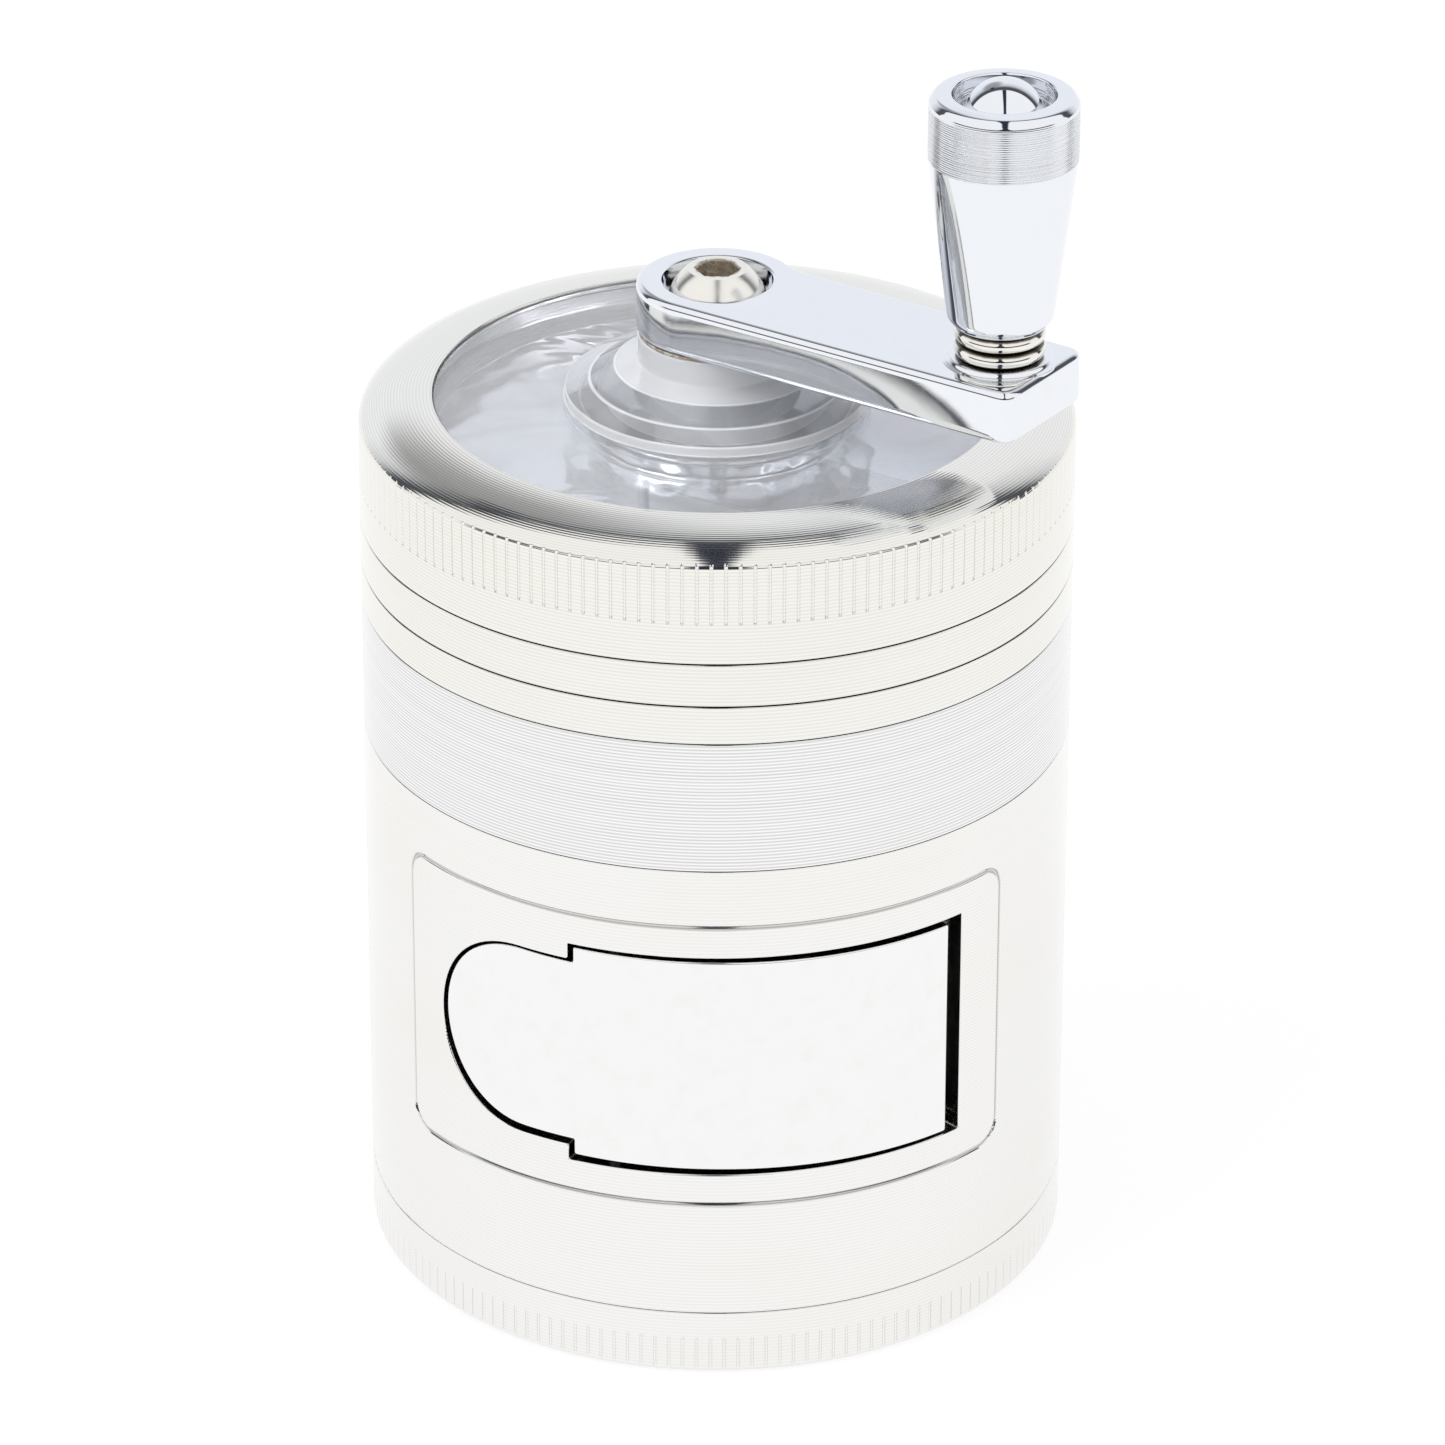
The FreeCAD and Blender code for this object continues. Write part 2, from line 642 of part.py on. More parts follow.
# Slip ring, which the lid turns and rests on
SLIP_TOP = LID + " + slip_ring_height"
slip_ring = turned("slip_ring", [
    (CHAMBER_OUTSIDE, LID),
    (CHAMBER_OUTSIDE + " + slip_ring_width", LID),
    (CHAMBER_OUTSIDE + " + slip_ring_width", SLIP_TOP),
    (CHAMBER_OUTSIDE, SLIP_TOP),
])
node(slip_ring, "slip_ring")

# Lid ring, its clear window and the ring that keeps the window in
SLIP_ROOM = CHAMBER_OUTSIDE + " + slip_ring_width + fit_clearance"
SKIRT_TOP = PANE + " - retainer_height"
lid = turned("lid", [
    (SLIP_ROOM, LID + " + seat_gap"),
    ("outer_radius - open_seam_break", LID + " + seat_gap"),
    ("outer_radius", LID + " + seat_gap + open_seam_break"),
    ("outer_radius", SHOULDER),
    ("outer_radius - crown_edge_run", SHOULDER + " + crown_edge_rise"),
    ("outer_radius - crown_slope_run", SHOULDER + " + crown_slope_rise"),
    (WINDOW_RADIUS, WINDOW),
    (WINDOW_RADIUS, WINDOW + " - window_lip"),
    (PANE_BORE, WINDOW + " - window_lip"),
    (PANE_BORE, SKIRT_TOP),
    (LID_BORE, SKIRT_TOP),
    (LID_BORE, SLIP_TOP),
    (SLIP_ROOM, SLIP_TOP),
])
ring_of_holes(lid, "knurl", "outer_radius", "knurl_groove_radius", "knurl_count",
              LID + " + knurl_low", "knurl_height")
node(lid, "lid_ring")
window = turned("window", [
    (BUSH_RADIUS, PANE),
    (FLANGE_RADIUS, PANE),
    (FLANGE_RADIUS, WINDOW + " - window_lip"),
    (WINDOW_RADIUS + " - window_play", WINDOW + " - window_lip"),
    (WINDOW_RADIUS + " - window_play", FACE),
    ("hub_base_radius", FACE),
    ("hub_base_radius", FACE + " + hub_base_rise"),
    ("hub_ledge_radius", FACE + " + hub_ledge_rise"),
    ("hub_cone_radius", FACE + " + hub_cone_rise"),
    ("hub_neck_radius", FACE + " + hub_neck_rise"),
    ("hub_neck_radius", HUB_TOP),
    (BUSH_RADIUS, HUB_TOP),
])
node(window, "lid_window")
window_retainer = turned("window_retainer", [
    (PANE_BORE + " - retainer_width", SKIRT_TOP),
    (PANE_BORE, SKIRT_TOP),
    (PANE_BORE, PANE),
    (PANE_BORE + " - retainer_width", PANE),
])
node(window_retainer, "window_retainer")
BUSH_BORE = "shaft_radius + running_clearance"
bush = turned("bush", [
    (BUSH_BORE, PANE + " - bush_flange_height"),
    (BUSH_RADIUS + " + bush_flange_width", PANE + " - bush_flange_height"),
    (BUSH_RADIUS + " + bush_flange_width", PANE),
    (BUSH_RADIUS, PANE),
    (BUSH_RADIUS, HUB_TOP),
    (BUSH_BORE, HUB_TOP),
])
node(bush, "shaft_bush")

# Rotor disc with its studs and magnet, on the foot of the shaft
rotor = turned("rotor", [
    ("magnet_radius", ROTOR_FOOT),
    (ROTOR_FOOT_RADIUS, ROTOR_FOOT),
    (ROTOR_FOOT_RADIUS, ROTOR),
    (ROTOR_RADIUS, ROTOR),
    (ROTOR_RADIUS, ROTOR_TOP),
    ("rotor_boss_radius", ROTOR_TOP),
    ("rotor_boss_radius", ROTOR_TOP + " + rotor_boss_rise"),
    ("shaft_radius", ROTOR_TOP + " + rotor_boss_rise"),
    ("shaft_radius", SHAFT_FOOT),
    ("0", SHAFT_FOOT),
    ("0", ROTOR_FOOT + " + magnet_thickness"),
    ("magnet_radius", ROTOR_FOOT + " + magnet_thickness"),
])
node(rotor, "rotor_disc")
rotor_magnet = cylinder("upper_magnet", "magnet_radius", "magnet_thickness", z=ROTOR_FOOT)
node(rotor_magnet, "rotor_magnet")
rotor_studs = doc.addObject("PartDesign::Body", "rotor_studs")
for row, radius in (("inner", INNER_GAP_ROW), ("outer", OUTER_GAP_ROW)):
    ring_of_studs(rotor_studs, f"sweep_{row}", radius, f"sweep_{row}_row_count",
                  CHAMBER_FLOOR + " + stud_clearance", ROTOR)
node(rotor_studs, "rotor_studs")

# Drive shaft, whose square head turns with the arm
round_shaft = cylinder("round_shaft", "shaft_radius", f"{ARM} - ({SHAFT_FOOT})", z=SHAFT_FOOT)
square_head = box("square_head", "drive_width", "drive_width", "drive_height",
                  "-drive_width / 2", "-drive_width / 2", ARM)
shaft_blank = fused("shaft_blank", round_shaft, square_head)
tapped_hole = cylinder("tapped_hole", "screw_radius", "screw_length", z=SCREW_SEAT + " - screw_length")
shaft = cut("shaft", shaft_blank, tapped_hole)
place(shaft, turn="crank_angle")
node(shaft, "drive_shaft")

# Thrust washer between the hub and the arm
washer = turned("washer", [
    (BUSH_BORE, HUB_TOP),
    ("washer_radius", HUB_TOP),
    ("washer_radius", ARM),
    (BUSH_BORE, ARM),
])
node(washer, "thrust_washer")

# Crank arm, drawn along X and turned to its rest angle
arm_hub = cylinder("arm_hub", "arm_hub_radius", "arm_thickness", z=ARM)
arm_bar = box("arm_bar", "arm_reach - arm_corner_radius", "arm_front_width + arm_back_width",
              "arm_thickness", "0", "-arm_front_width", ARM)
arm_tip = box("arm_tip", "arm_reach", "arm_front_width + arm_back_width - 2 * arm_corner_radius",
              "arm_thickness", "0", "-arm_front_width + arm_corner_radius", ARM)
arm_corners = []
for side, edge in (("right", "-arm_front_width + arm_corner_radius"),
                   ("left", "arm_back_width - arm_corner_radius")):
    arm_corners.append(cylinder("arm_corner_" + side, "arm_corner_radius", "arm_thickness",
                                "arm_reach - arm_corner_radius", edge, ARM))
arm_boss = doc.addObject("Part::Cone", "arm_boss")
bind(arm_boss, Radius1="boss_radius", Radius2="boss_top_radius", Height="boss_height")
place(arm_boss, KNOB_OFFSET, "0", ARM_TOP)
arm_blank = fused("arm_blank", arm_hub, arm_bar, arm_tip, arm_boss, *arm_corners)
counterbore = cylinder("counterbore", "counterbore_radius", "counterbore_depth", z=SCREW_SEAT)
arm_hole = cylinder("arm_hole", "screw_radius", "arm_thickness", z=ARM)
drive_socket = box("drive_socket", "drive_width", "drive_width", "drive_height",
                   "-drive_width / 2", "-drive_width / 2", ARM)
KNOB_PIN_FOOT = BOSS + " - knob_pin_seat"
knob_pin_hole = cylinder("knob_pin_hole", "knob_pin_radius", "knob_pin_seat", KNOB_OFFSET, "0", KNOB_PIN_FOOT)
arm = cut("arm", arm_blank, counterbore, arm_hole, drive_socket, knob_pin_hole)
place(arm, turn="crank_angle")
node(arm, "crank_arm")

# Crank screw, a button head with a hex socket
screw_blank = turned("screw_blank", [
    ("0", SCREW_SEAT + " - screw_length"),
    ("screw_radius", SCREW_SEAT + " - screw_length"),
    ("screw_radius", SCREW_SEAT),
    ("screw_head_radius", SCREW_SEAT),
    ("screw_head_radius", SCREW_SEAT + " + screw_head_side"),
    ("screw_crown_radius", SCREW_SEAT + " + screw_crown_rise"),
    ("screw_socket_radius", SCREW_SEAT + " + screw_head_height"),
    ("0", SCREW_SEAT + " + screw_head_height"),
])
hex_socket = doc.addObject("Part::Prism", "hex_socket")
hex_socket.Polygon = 6
bind(hex_socket, Circumradius="screw_socket_radius", Height="screw_socket_depth")
place(hex_socket, z=SCREW_SEAT + " + screw_head_height - screw_socket_depth")
screw = cut("screw", screw_blank, hex_socket)
node(screw, "crank_screw")

# Two rounded rings under the knob
rings = []
for name, low in (("low", BOSS), ("high", BOSS + " + ring_thickness")):
    rings.append(turned("ring_" + name, [
        ("knob_pin_radius + running_clearance", low),
        ("ring_radius - ring_round", low),
        ("ring_radius", low + " + ring_round"),
        ("ring_radius", low + " + ring_thickness - ring_round"),
        ("ring_radius - ring_round", low + " + ring_thickness"),
        ("knob_pin_radius + running_clearance", low + " + ring_thickness"),
    ]))
ring_pair = doc.addObject("Part::Compound", "ring_pair")
ring_pair.Links = rings
place(ring_pair, KNOB_X, KNOB_Y)
node(ring_pair, "knob_rings")

# Knob, and the domed pin that it spins on
RECESS = KNOB_TOP + " - knob_recess_depth"
KNOB_BORE = "knob_pin_radius + running_clearance"
knob = turned("knob", [
    (KNOB_BORE, KNOB),
    ("knob_foot_radius", KNOB),
    ("knob_waist_radius", KNOB + " + knob_waist_rise"),
    ("knob_band_radius", KNOB + " + knob_band_rise"),
    ("knob_band_radius", KNOB + " + knob_band_rise + knob_band_height"),
    ("knob_rim_radius", KNOB_TOP),
    ("knob_recess_radius", RECESS),
    (KNOB_BORE, RECESS),
])
place(knob, KNOB_X, KNOB_Y)
node(knob, "knob")
HEAD = RECESS + " + knob_play"
knob_pin = turned("knob_pin", [
    ("0", KNOB_PIN_FOOT),
    ("knob_pin_radius", KNOB_PIN_FOOT),
    ("knob_pin_radius", HEAD),
    ("pin_head_radius", HEAD),
    ("pin_head_radius", HEAD + " + pin_head_side"),
    ("pin_shoulder_radius", HEAD + " + pin_shoulder_rise"),
    ("pin_crown_radius", HEAD + " + pin_crown_rise"),
    ("0", HEAD + " + pin_head_height"),
])
place(knob_pin, KNOB_X, KNOB_Y)
node(knob_pin, "knob_pin")

doc.recompute()
for thing in doc.Objects:
    if "Invalid" in thing.State or "Error" in thing.State:
        raise RuntimeError(f"{thing.Name} failed: {thing.State}")
for thing in nodes:
    if thing.Shape.isNull() or not thing.Shape.isValid():
        raise RuntimeError(thing.Label + " has no sound shape")

os.makedirs("parts", exist_ok=True)
for thing in nodes:
    thing.Shape.exportStep(f"parts/{thing.Label}.step")
    print(f"{thing.Label}: {len(thing.Shape.Solids)} solids, {thing.Shape.Volume:.1f} mm3")
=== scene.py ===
"""Dresses a hand-crank spice grinder over its CAD frame: surfaces, finishes and a white studio."""
import math

import bmesh
import bpy
import numpy as np
from mathutils import Euler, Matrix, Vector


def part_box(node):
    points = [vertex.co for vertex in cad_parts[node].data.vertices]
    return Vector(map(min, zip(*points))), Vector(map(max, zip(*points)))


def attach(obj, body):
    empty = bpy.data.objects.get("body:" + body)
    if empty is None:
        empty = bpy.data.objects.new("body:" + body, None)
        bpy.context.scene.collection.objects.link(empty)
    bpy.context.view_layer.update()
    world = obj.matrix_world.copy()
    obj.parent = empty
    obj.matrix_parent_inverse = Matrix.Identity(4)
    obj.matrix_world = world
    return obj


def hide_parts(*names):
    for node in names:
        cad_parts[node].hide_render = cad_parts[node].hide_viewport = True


bl_info = {
    "name": "Crank Grinder Dressing",
    "version": (1, 0, 0),
    "blender": (4, 5, 0),
    "location": "3D View > Sidebar > Grinder",
    "description": "Builds the surfaces and finishes of a hand-crank spice grinder over its CAD frame",
    "category": "Object",
}

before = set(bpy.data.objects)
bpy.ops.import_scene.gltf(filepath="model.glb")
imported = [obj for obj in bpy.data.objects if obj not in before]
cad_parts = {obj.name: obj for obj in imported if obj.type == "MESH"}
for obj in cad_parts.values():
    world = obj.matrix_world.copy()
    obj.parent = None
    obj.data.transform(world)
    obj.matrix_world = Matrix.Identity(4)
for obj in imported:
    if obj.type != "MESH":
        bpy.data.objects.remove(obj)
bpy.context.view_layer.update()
MM = 0.001
TAU = 2 * math.pi
PHOTO_WIDTH = 1445

# Roundings of edges, from crisp to full, and the spacing of points along an outline
CRISP = 0.05 * MM
FINE = 0.1 * MM
NEAT = 0.15 * MM
SOFT = 0.2 * MM
MILD = 0.25 * MM
ROUND = 0.3 * MM
FULL = 0.5 * MM
SPACING = 0.5 * MM

# Distance within which points are merged, length of a side that counts as none, and angle of a sharp edge
MERGE = 2e-7
TINY = 1e-8
SHARP = math.radians(38)


def low(node):
    """Height of a CAD node's underside."""
    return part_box(node)[0].z


def high(node):
    """Height of a CAD node's top."""
    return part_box(node)[1].z


def radius_of(node):
    """Radius of a CAD node that stands on the grinder's axis."""
    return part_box(node)[1].x


def middle_of(node):
    """Where a CAD node's upright axis stands."""
    least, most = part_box(node)
    return np.array([(least.x + most.x) / 2, (least.y + most.y) / 2])


# Properties: what a user would change

def length(name, description, default):
    """A size in metres."""
    return bpy.props.FloatProperty(name=name, description=description, default=default, unit="LENGTH",
                                   precision=5)


def turn(name, description, degrees):
    """An angle, given in degrees."""
    return bpy.props.FloatProperty(name=name, description=description, default=math.radians(degrees),
                                   subtype="ANGLE")


def count(name, description, default):
    """How many of something."""
    return bpy.props.IntProperty(name=name, description=description, default=default, min=1)


def tint(name, description, default):
    """A linear colour."""
    return bpy.props.FloatVectorProperty(name=name, description=description, default=default, subtype="COLOR",
                                         min=0.0, max=1.0)


def share(name, description, default):
    """A number from nothing to one."""
    return bpy.props.FloatProperty(name=name, description=description, default=default, subtype="FACTOR",
                                   min=0.0, max=1.0)


class StackSizes(bpy.types.PropertyGroup):
    """Rings, seams and knurls of the body."""
    radius: length("Radius", "Outer radius of every ring", radius_of("collector_ring"))
    base_seam: length("Base seam", "Height of the seam over the base cap", low("drawer_housing"))
    collector_seam: length("Collector seam", "Height of the seam over the housing", high("drawer_housing"))
    sifter_seam: length("Sifter seam", "Height of the seam over the collector", high("collector_ring"))
    chamber_seam: length("Chamber seam", "Height of the seam over the sifter", high("sifter_ring"))
    lid_foot: length("Lid foot", "Height of the lid's lower edge", low("lid_ring"))
    lid_shoulder: length("Lid shoulder", "Height where the lid's wall meets its bevel", 79.2 * MM)
    lid_crest: length("Lid crest", "Height of the window's rim", high("lid_ring"))
    lip: length("Lip", "How far the spigots stand in from the outside", 2.3 * MM)
    bore_wall: length("Spigot wall", "Wall of the spigots", 2.0 * MM)
    fit: length("Fit", "Clearance round a spigot", 0.3 * MM)
    spigot: length("Spigot depth", "How deep a ring plugs into the next", 3.5 * MM)
    short_spigot: length("Short spigot depth", "How deep the chamber plugs into the sifter", 2.0 * MM)
    ease: length("Edge ease", "Rounding of the rings' edges", 0.07 * MM)
    thin_gap: length("Thin seam", "Height of the thin seams", 0.06 * MM)
    silver_gap: length("Silver seam", "Height of the seam over the collector", 0.09 * MM)
    wide_gap: length("Wide seam", "Height of the two wide seams", 0.13 * MM)
    mesh_lip: length("Mesh lip", "Width of the lip that the sieve lies on", 1.2 * MM)
    foot_bevel: length("Foot bevel", "Bevel round the base's underside", 0.6 * MM)
    base_floor: length("Base floor", "Thickness of the base's floor", 2.0 * MM)
    groove: length("Knurl groove", "Radius of a knurl groove", 0.16 * MM)
    grooves: count("Knurl count", "Grooves round the lid and the base", 160)
    lid_knurl_low: length("Lid knurl foot", "Lower end of the lid's knurl", 74.1 * MM)
    base_knurl_high: length("Base knurl top", "Upper end of the base's knurl", 3.7 * MM)


class DrawerSizes(bpy.types.PropertyGroup):
    """Hole in the housing, the frame round it and the drawer's face."""
    sill: length("Sill", "Height of the hole's lower edge", 20.4 * MM)
    lintel: length("Lintel", "Height of the hole's upper edge", 42.0 * MM)
    right: turn("Right edge", "Angle of the hole's right edge from the front", 46.1)
    step: turn("Step", "Angle of the step to the thumb end", 21.2)
    thumb: turn("Thumb end", "Angle of the round end's middle", 29.8)
    thumb_radius: length("Thumb radius", "Radius of the round end", 9.3 * MM)
    gap: length("Gap", "Gap round the drawer", 0.45 * MM)
    end_gap: turn("End gap", "Wider gap at the right edge", 2.6)
    wall: length("Wall", "Thickness of the housing's wall", 3.5 * MM)
    deck: length("Deck", "Thickness of the deck under the drawer", 2.2 * MM)
    recess: length("Recess", "How far the drawer's face lies behind the wall", 0.15 * MM)
    behind: length("Behind", "How far the drawer's front reaches in past the wall", 0.4 * MM)
    sag: turn("Sag", "How far the drawer hangs down to the right in its hole", 0.57)
    field: turn("Field", "Angle from the front of the sides of the wall's part that holds the hole", 80)
    hole_fan: length("Hole fan", "Point right of the front from which the wall's points fan out", 2.0 * MM)
    face_fan: length("Face fan", "Point right of the front from which the drawer's points fan out", 6.0 * MM)
    frame_turn: turn("Frame width", "Angle of the frame line's sides from the front", 55.3)
    frame_margin: length("Frame margin", "Frame line's distance over and under the hole", 3.0 * MM)
    frame_corner: length("Frame corner", "Radius of the frame line's corners", 2.3 * MM)
    frame_line: length("Frame line", "Width of the frame line", 0.5 * MM)
    frame_depth: length("Frame depth", "Depth of the frame line", 0.3 * MM)


class ChamberSizes(bpy.types.PropertyGroup):
    """Floor of the grinding chamber and its drop holes."""
    wall: length("Wall", "Wall over the chamber's floor", 2.6 * MM)
    fillet: length("Fillet", "Rounding between wall and floor", 0.4 * MM)
    core: length("Core", "Radius of the plain middle", 9.0 * MM)
    field: length("Field", "Radius of the part that holds the holes", 23.5 * MM)
    hole: length("Hole", "Radius of a drop hole", 1.75 * MM)
    inner_ring: length("Inner ring", "Radius of the inner ring of holes", 13.3 * MM)
    outer_ring: length("Outer ring", "Radius of the outer ring of holes", 19.9 * MM)
    inner_holes: count("Inner holes", "Holes in the inner ring", 10)
    outer_holes: count("Outer holes", "Holes in the outer ring", 16)


class LidSizes(bpy.types.PropertyGroup):
    """Crown of the lid, its window with the stepped hub, and the rotor under it."""
    crown: length("Crown", "Width of the lid's top from its wall to the window", 6.5 * MM)
    bevel_run: length("Bevel run", "Width of the bevel", 2.2 * MM)
    bevel_rise: length("Bevel rise", "Height of the bevel", 1.8 * MM)
    bevel_slope: turn("Bevel slope", "Slope at the bevel's upper edge", 21)
    crown_slope: turn("Crown slope", "Slope at the crown's outer edge", 16.5)
    rim_ease: length("Rim ease", "Rounding of the rims of crown and window", 0.12 * MM)
    ledge: length("Ledge", "Width of the ledge over the window's flange", 2.3 * MM)
    ledge_depth: length("Ledge depth", "How far the ledge lies under the crest", 1.3 * MM)
    retainer: length("Retainer", "Height under the window for its retainer", 1.0 * MM)
    slip_room: length("Slip room", "Room for the slip ring", 1.0 * MM)
    sunk: length("Sunk", "How far the window's face lies under the crest", 0.3 * MM)
    pane_gap: length("Pane gap", "Gap between crown and window", 0.1 * MM)
    flange: length("Flange", "Width of the window's flange", 2.2 * MM)
    foot_radius: length("Foot radius", "Radius of the hub's foot", 13.4 * MM)
    foot_rise: length("Foot rise", "Height of the hub's foot over the window", 0.8 * MM)
    step_radius: length("Step radius", "Radius of the hub's step", 11.2 * MM)
    step_rise: length("Step rise", "Height of the hub's step over the window", 1.6 * MM)
    cone_radius: length("Cone radius", "Radius of the hub's cone", 9.0 * MM)
    cone_rise: length("Cone rise", "Height of the hub's cone over the window", 2.9 * MM)
    neck_radius: length("Neck radius", "Radius of the hub's neck", 7.0 * MM)
    neck_rise: length("Neck rise", "Height of the neck's foot over the window", 3.6 * MM)
    bush_flange: length("Bush flange", "Width of the bush's flange", 1.4 * MM)
    bite: length("Bite", "Overlap of bush and window", 0.06 * MM)
    shaft_fit: length("Shaft fit", "Clearance round the shaft", 0.05 * MM)
    rotor_drop: length("Rotor drop", "How far the rotor's disc lies under its boss", 1.9 * MM)
    rotor_plate: length("Rotor plate", "Thickness of the rotor's disc", 2.0 * MM)
    rotor_boss: length("Rotor boss", "Radius of the rotor's boss", 11.0 * MM)
    rotor_wall: length("Rotor wall", "Wall round the rotor's magnet", 1.0 * MM)
    rotor_bore: length("Rotor bore", "Radius of the bore for the shaft", 3.0 * MM)


class CrankSizes(bpy.types.PropertyGroup):
    """Crank arm, the boss under its knob, its screw and its washer."""
    angle: turn("Crank angle", "Rest angle of the arm from the right", -31.5)
    hub: length("Hub radius", "Radius of the arm's round end", 7.1 * MM)
    back_width: length("Back width", "Arm's back side from its axis", 5.7 * MM)
    front_width: length("Front width", "Arm's front side from its axis, at the far end", 6.4 * MM)
    blend: length("Blend", "Radius of the hollow where the arm's back side meets its hub", 6.0 * MM)
    reach: length("Reach", "Length of the arm from its axis", 34.3 * MM)
    corner: length("Corner", "How far the far corners' roundings run along their sides", 1.6 * MM)
    edge: length("Edge", "Rounding of the arm's edges", 0.6 * MM)
    counterbore: length("Counterbore", "Radius of the screw's seat", 4.85 * MM)
    seat: length("Seat depth", "Depth of the screw's seat", 2.4 * MM)
    foot: length("Arm underside", "Height of the arm's underside", low("crank_arm"))
    thickness: length("Arm thickness", "Thickness of the arm", 4.7 * MM)
    shank: length("Shank", "Radius of the hole for the screw's shank", 1.5 * MM)
    boss_foot: length("Boss foot", "Radius of the boss under the knob, at its foot", 5.0 * MM)
    boss_waist: length("Boss waist", "Radius where the boss's flare ends", 4.55 * MM)
    boss_top: length("Boss top", "Radius of the boss at its top", 4.35 * MM)
    boss_rise: length("Boss rise", "Height of the boss", 0.4 * MM)
    boss_ease: length("Boss ease", "Rounding of the boss's top", 0.12 * MM)
    head: length("Screw head", "Radius of the screw's head", 4.4 * MM)
    dome: length("Screw dome", "Radius of the sphere that the screw's head is part of", 4.45 * MM)
    dome_drop: length("Dome drop", "How far the sphere's middle lies under the seat", 0.2 * MM)
    socket: length("Hex socket", "Distance from the screw's axis to a flat", 1.72 * MM)
    socket_depth: length("Socket depth", "Depth of the hex socket", 1.8 * MM)
    stain: length("Stain", "Radius of the bare metal round the socket", 1.95 * MM)
    washer_bore: length("Washer bore", "Radius of the washer's bore", 3.05 * MM)
    washer_ease: length("Washer ease", "Rounding of the washer's edges", 0.08 * MM)


class KnobSizes(bpy.types.PropertyGroup):
    """Knob, its pin and the two rings under it."""
    bore: length("Bore", "Radius of the bore for the pin", 2.05 * MM)
    foot: length("Foot", "Radius of the underside", 4.0 * MM)
    waist: length("Waist", "Radius where the taper starts", 4.6 * MM)
    waist_rise: length("Waist rise", "Height where the taper starts", 0.8 * MM)
    band: length("Band", "Radius of the upper band", 6.4 * MM)
    band_low: length("Band foot", "Height of the band's lower edge over the knob's foot", 15.3 * MM)
    band_high: length("Band top", "Height of the band's upper edge over the knob's foot", 20.3 * MM)
    crown: length("Crown", "Radius where the band's bevel meets the top", 5.9 * MM)
    crown_drop: length("Crown drop", "How far the bevel's upper edge lies under the top", 0.12 * MM)
    rim_outside: length("Rim outside", "Outer radius of the flat rim", 4.95 * MM)
    rim_inside: length("Rim inside", "Inner radius of the flat rim", 4.45 * MM)
    cup: length("Cup", "Radius of the cup's floor", 4.2 * MM)
    cup_depth: length("Cup depth", "Depth of the cup in the top", 1.7 * MM)
    pin: length("Pin", "Radius of the pin", 2.0 * MM)
    pin_gap: length("Pin gap", "Gap under the pin's head", 0.1 * MM)
    pin_dome: length("Pin dome", "Radius of the sphere that the pin's head is part of", 3.7 * MM)
    ring: length("Ring", "Radius of the rings under the knob", 3.95 * MM)
    ring_bulge: length("Ring bulge", "How far the rings bulge", 0.7 * MM)


class Finishes(bpy.types.PropertyGroup):
    """Colours of the metals and plastics."""
    nickel: tint("Nickel", "Warm plate of the lid, chamber and sifter", (0.90, 0.89, 0.85))
    pale_nickel: tint("Pale nickel", "Plate of the housing and base", (0.895, 0.888, 0.872))
    polish: tint("Polished nickel", "Plate of the drawer", (0.895, 0.895, 0.895))
    screw: tint("Screw plate", "Warm plate of the screw and rings", (0.88, 0.86, 0.81))
    silver: tint("Turned silver", "Cool plate of the collector ring", (0.95, 0.95, 0.955))
    chrome: tint("Chrome", "Mirror plate of the crank and knob", (0.85, 0.87, 0.91))
    rotor: tint("Rotor", "Plate of the rotor under the window", (0.92, 0.93, 0.95))
    steel: tint("Steel", "Plain steel inside", (0.70, 0.70, 0.70))
    nylon: tint("Nylon", "Slip ring", (0.03, 0.03, 0.03))
    acrylic: tint("Acrylic", "Clear window", (0.97, 0.98, 1.0))
    # Also darkened for the painted shade where the knob's rings meet
    grime_and_joint_shade: tint("Socket", "Raw metal in the screw's socket", (0.50, 0.43, 0.34))


class StudioSettings(bpy.types.PropertyGroup):
    """Light, floor and camera."""
    floor: tint("Floor", "Pale floor", (0.95, 0.95, 0.95))
    floor_radius: length("Floor radius", "Radius of the floor", 6.0)
    floor_drop: length("Floor drop", "How far the floor lies under the grinder", 0.02 * MM)
    back: tint("Back wall", "Tent behind the grinder, as the metal sees it", (0.92, 0.94, 0.98))
    shade: tint("Shade", "Grey part of the tent, up and behind on the left", (0.2, 0.2, 0.205))
    edge: tint("Panel edge", "Dark rim of the bright panel in front", (0.08, 0.085, 0.10))
    dark: tint("Dark", "Slit in the front panel, a stand behind and the horizon", (0.03, 0.036, 0.055))
    ambient: share("Ambient", "Strength of the tent's light on dull surfaces", 0.9)
    lift: share("Floor lift", "How far the floor is lifted to white", 0.85)
    camera_distance: length("Camera distance", "Camera's distance from the axis", 630.903 * MM)
    camera_height: length("Camera height", "Camera's height over the floor", 370.968 * MM)
    camera_turn: turn("Camera turn", "Camera's angle round the object", 3.1)
    camera_aim: turn("Camera aim", "How far the camera looks aside", 0.047)
    camera_dip: turn("Camera dip", "How far the camera looks down", 27.0448)
    camera_roll: turn("Camera roll", "How far the camera leans", 0.1213)
    focal: bpy.props.FloatProperty(name="Focal length", description="In pixels of the photograph's frame",
                                   default=7911.57, subtype="PIXEL")


# Shader maths

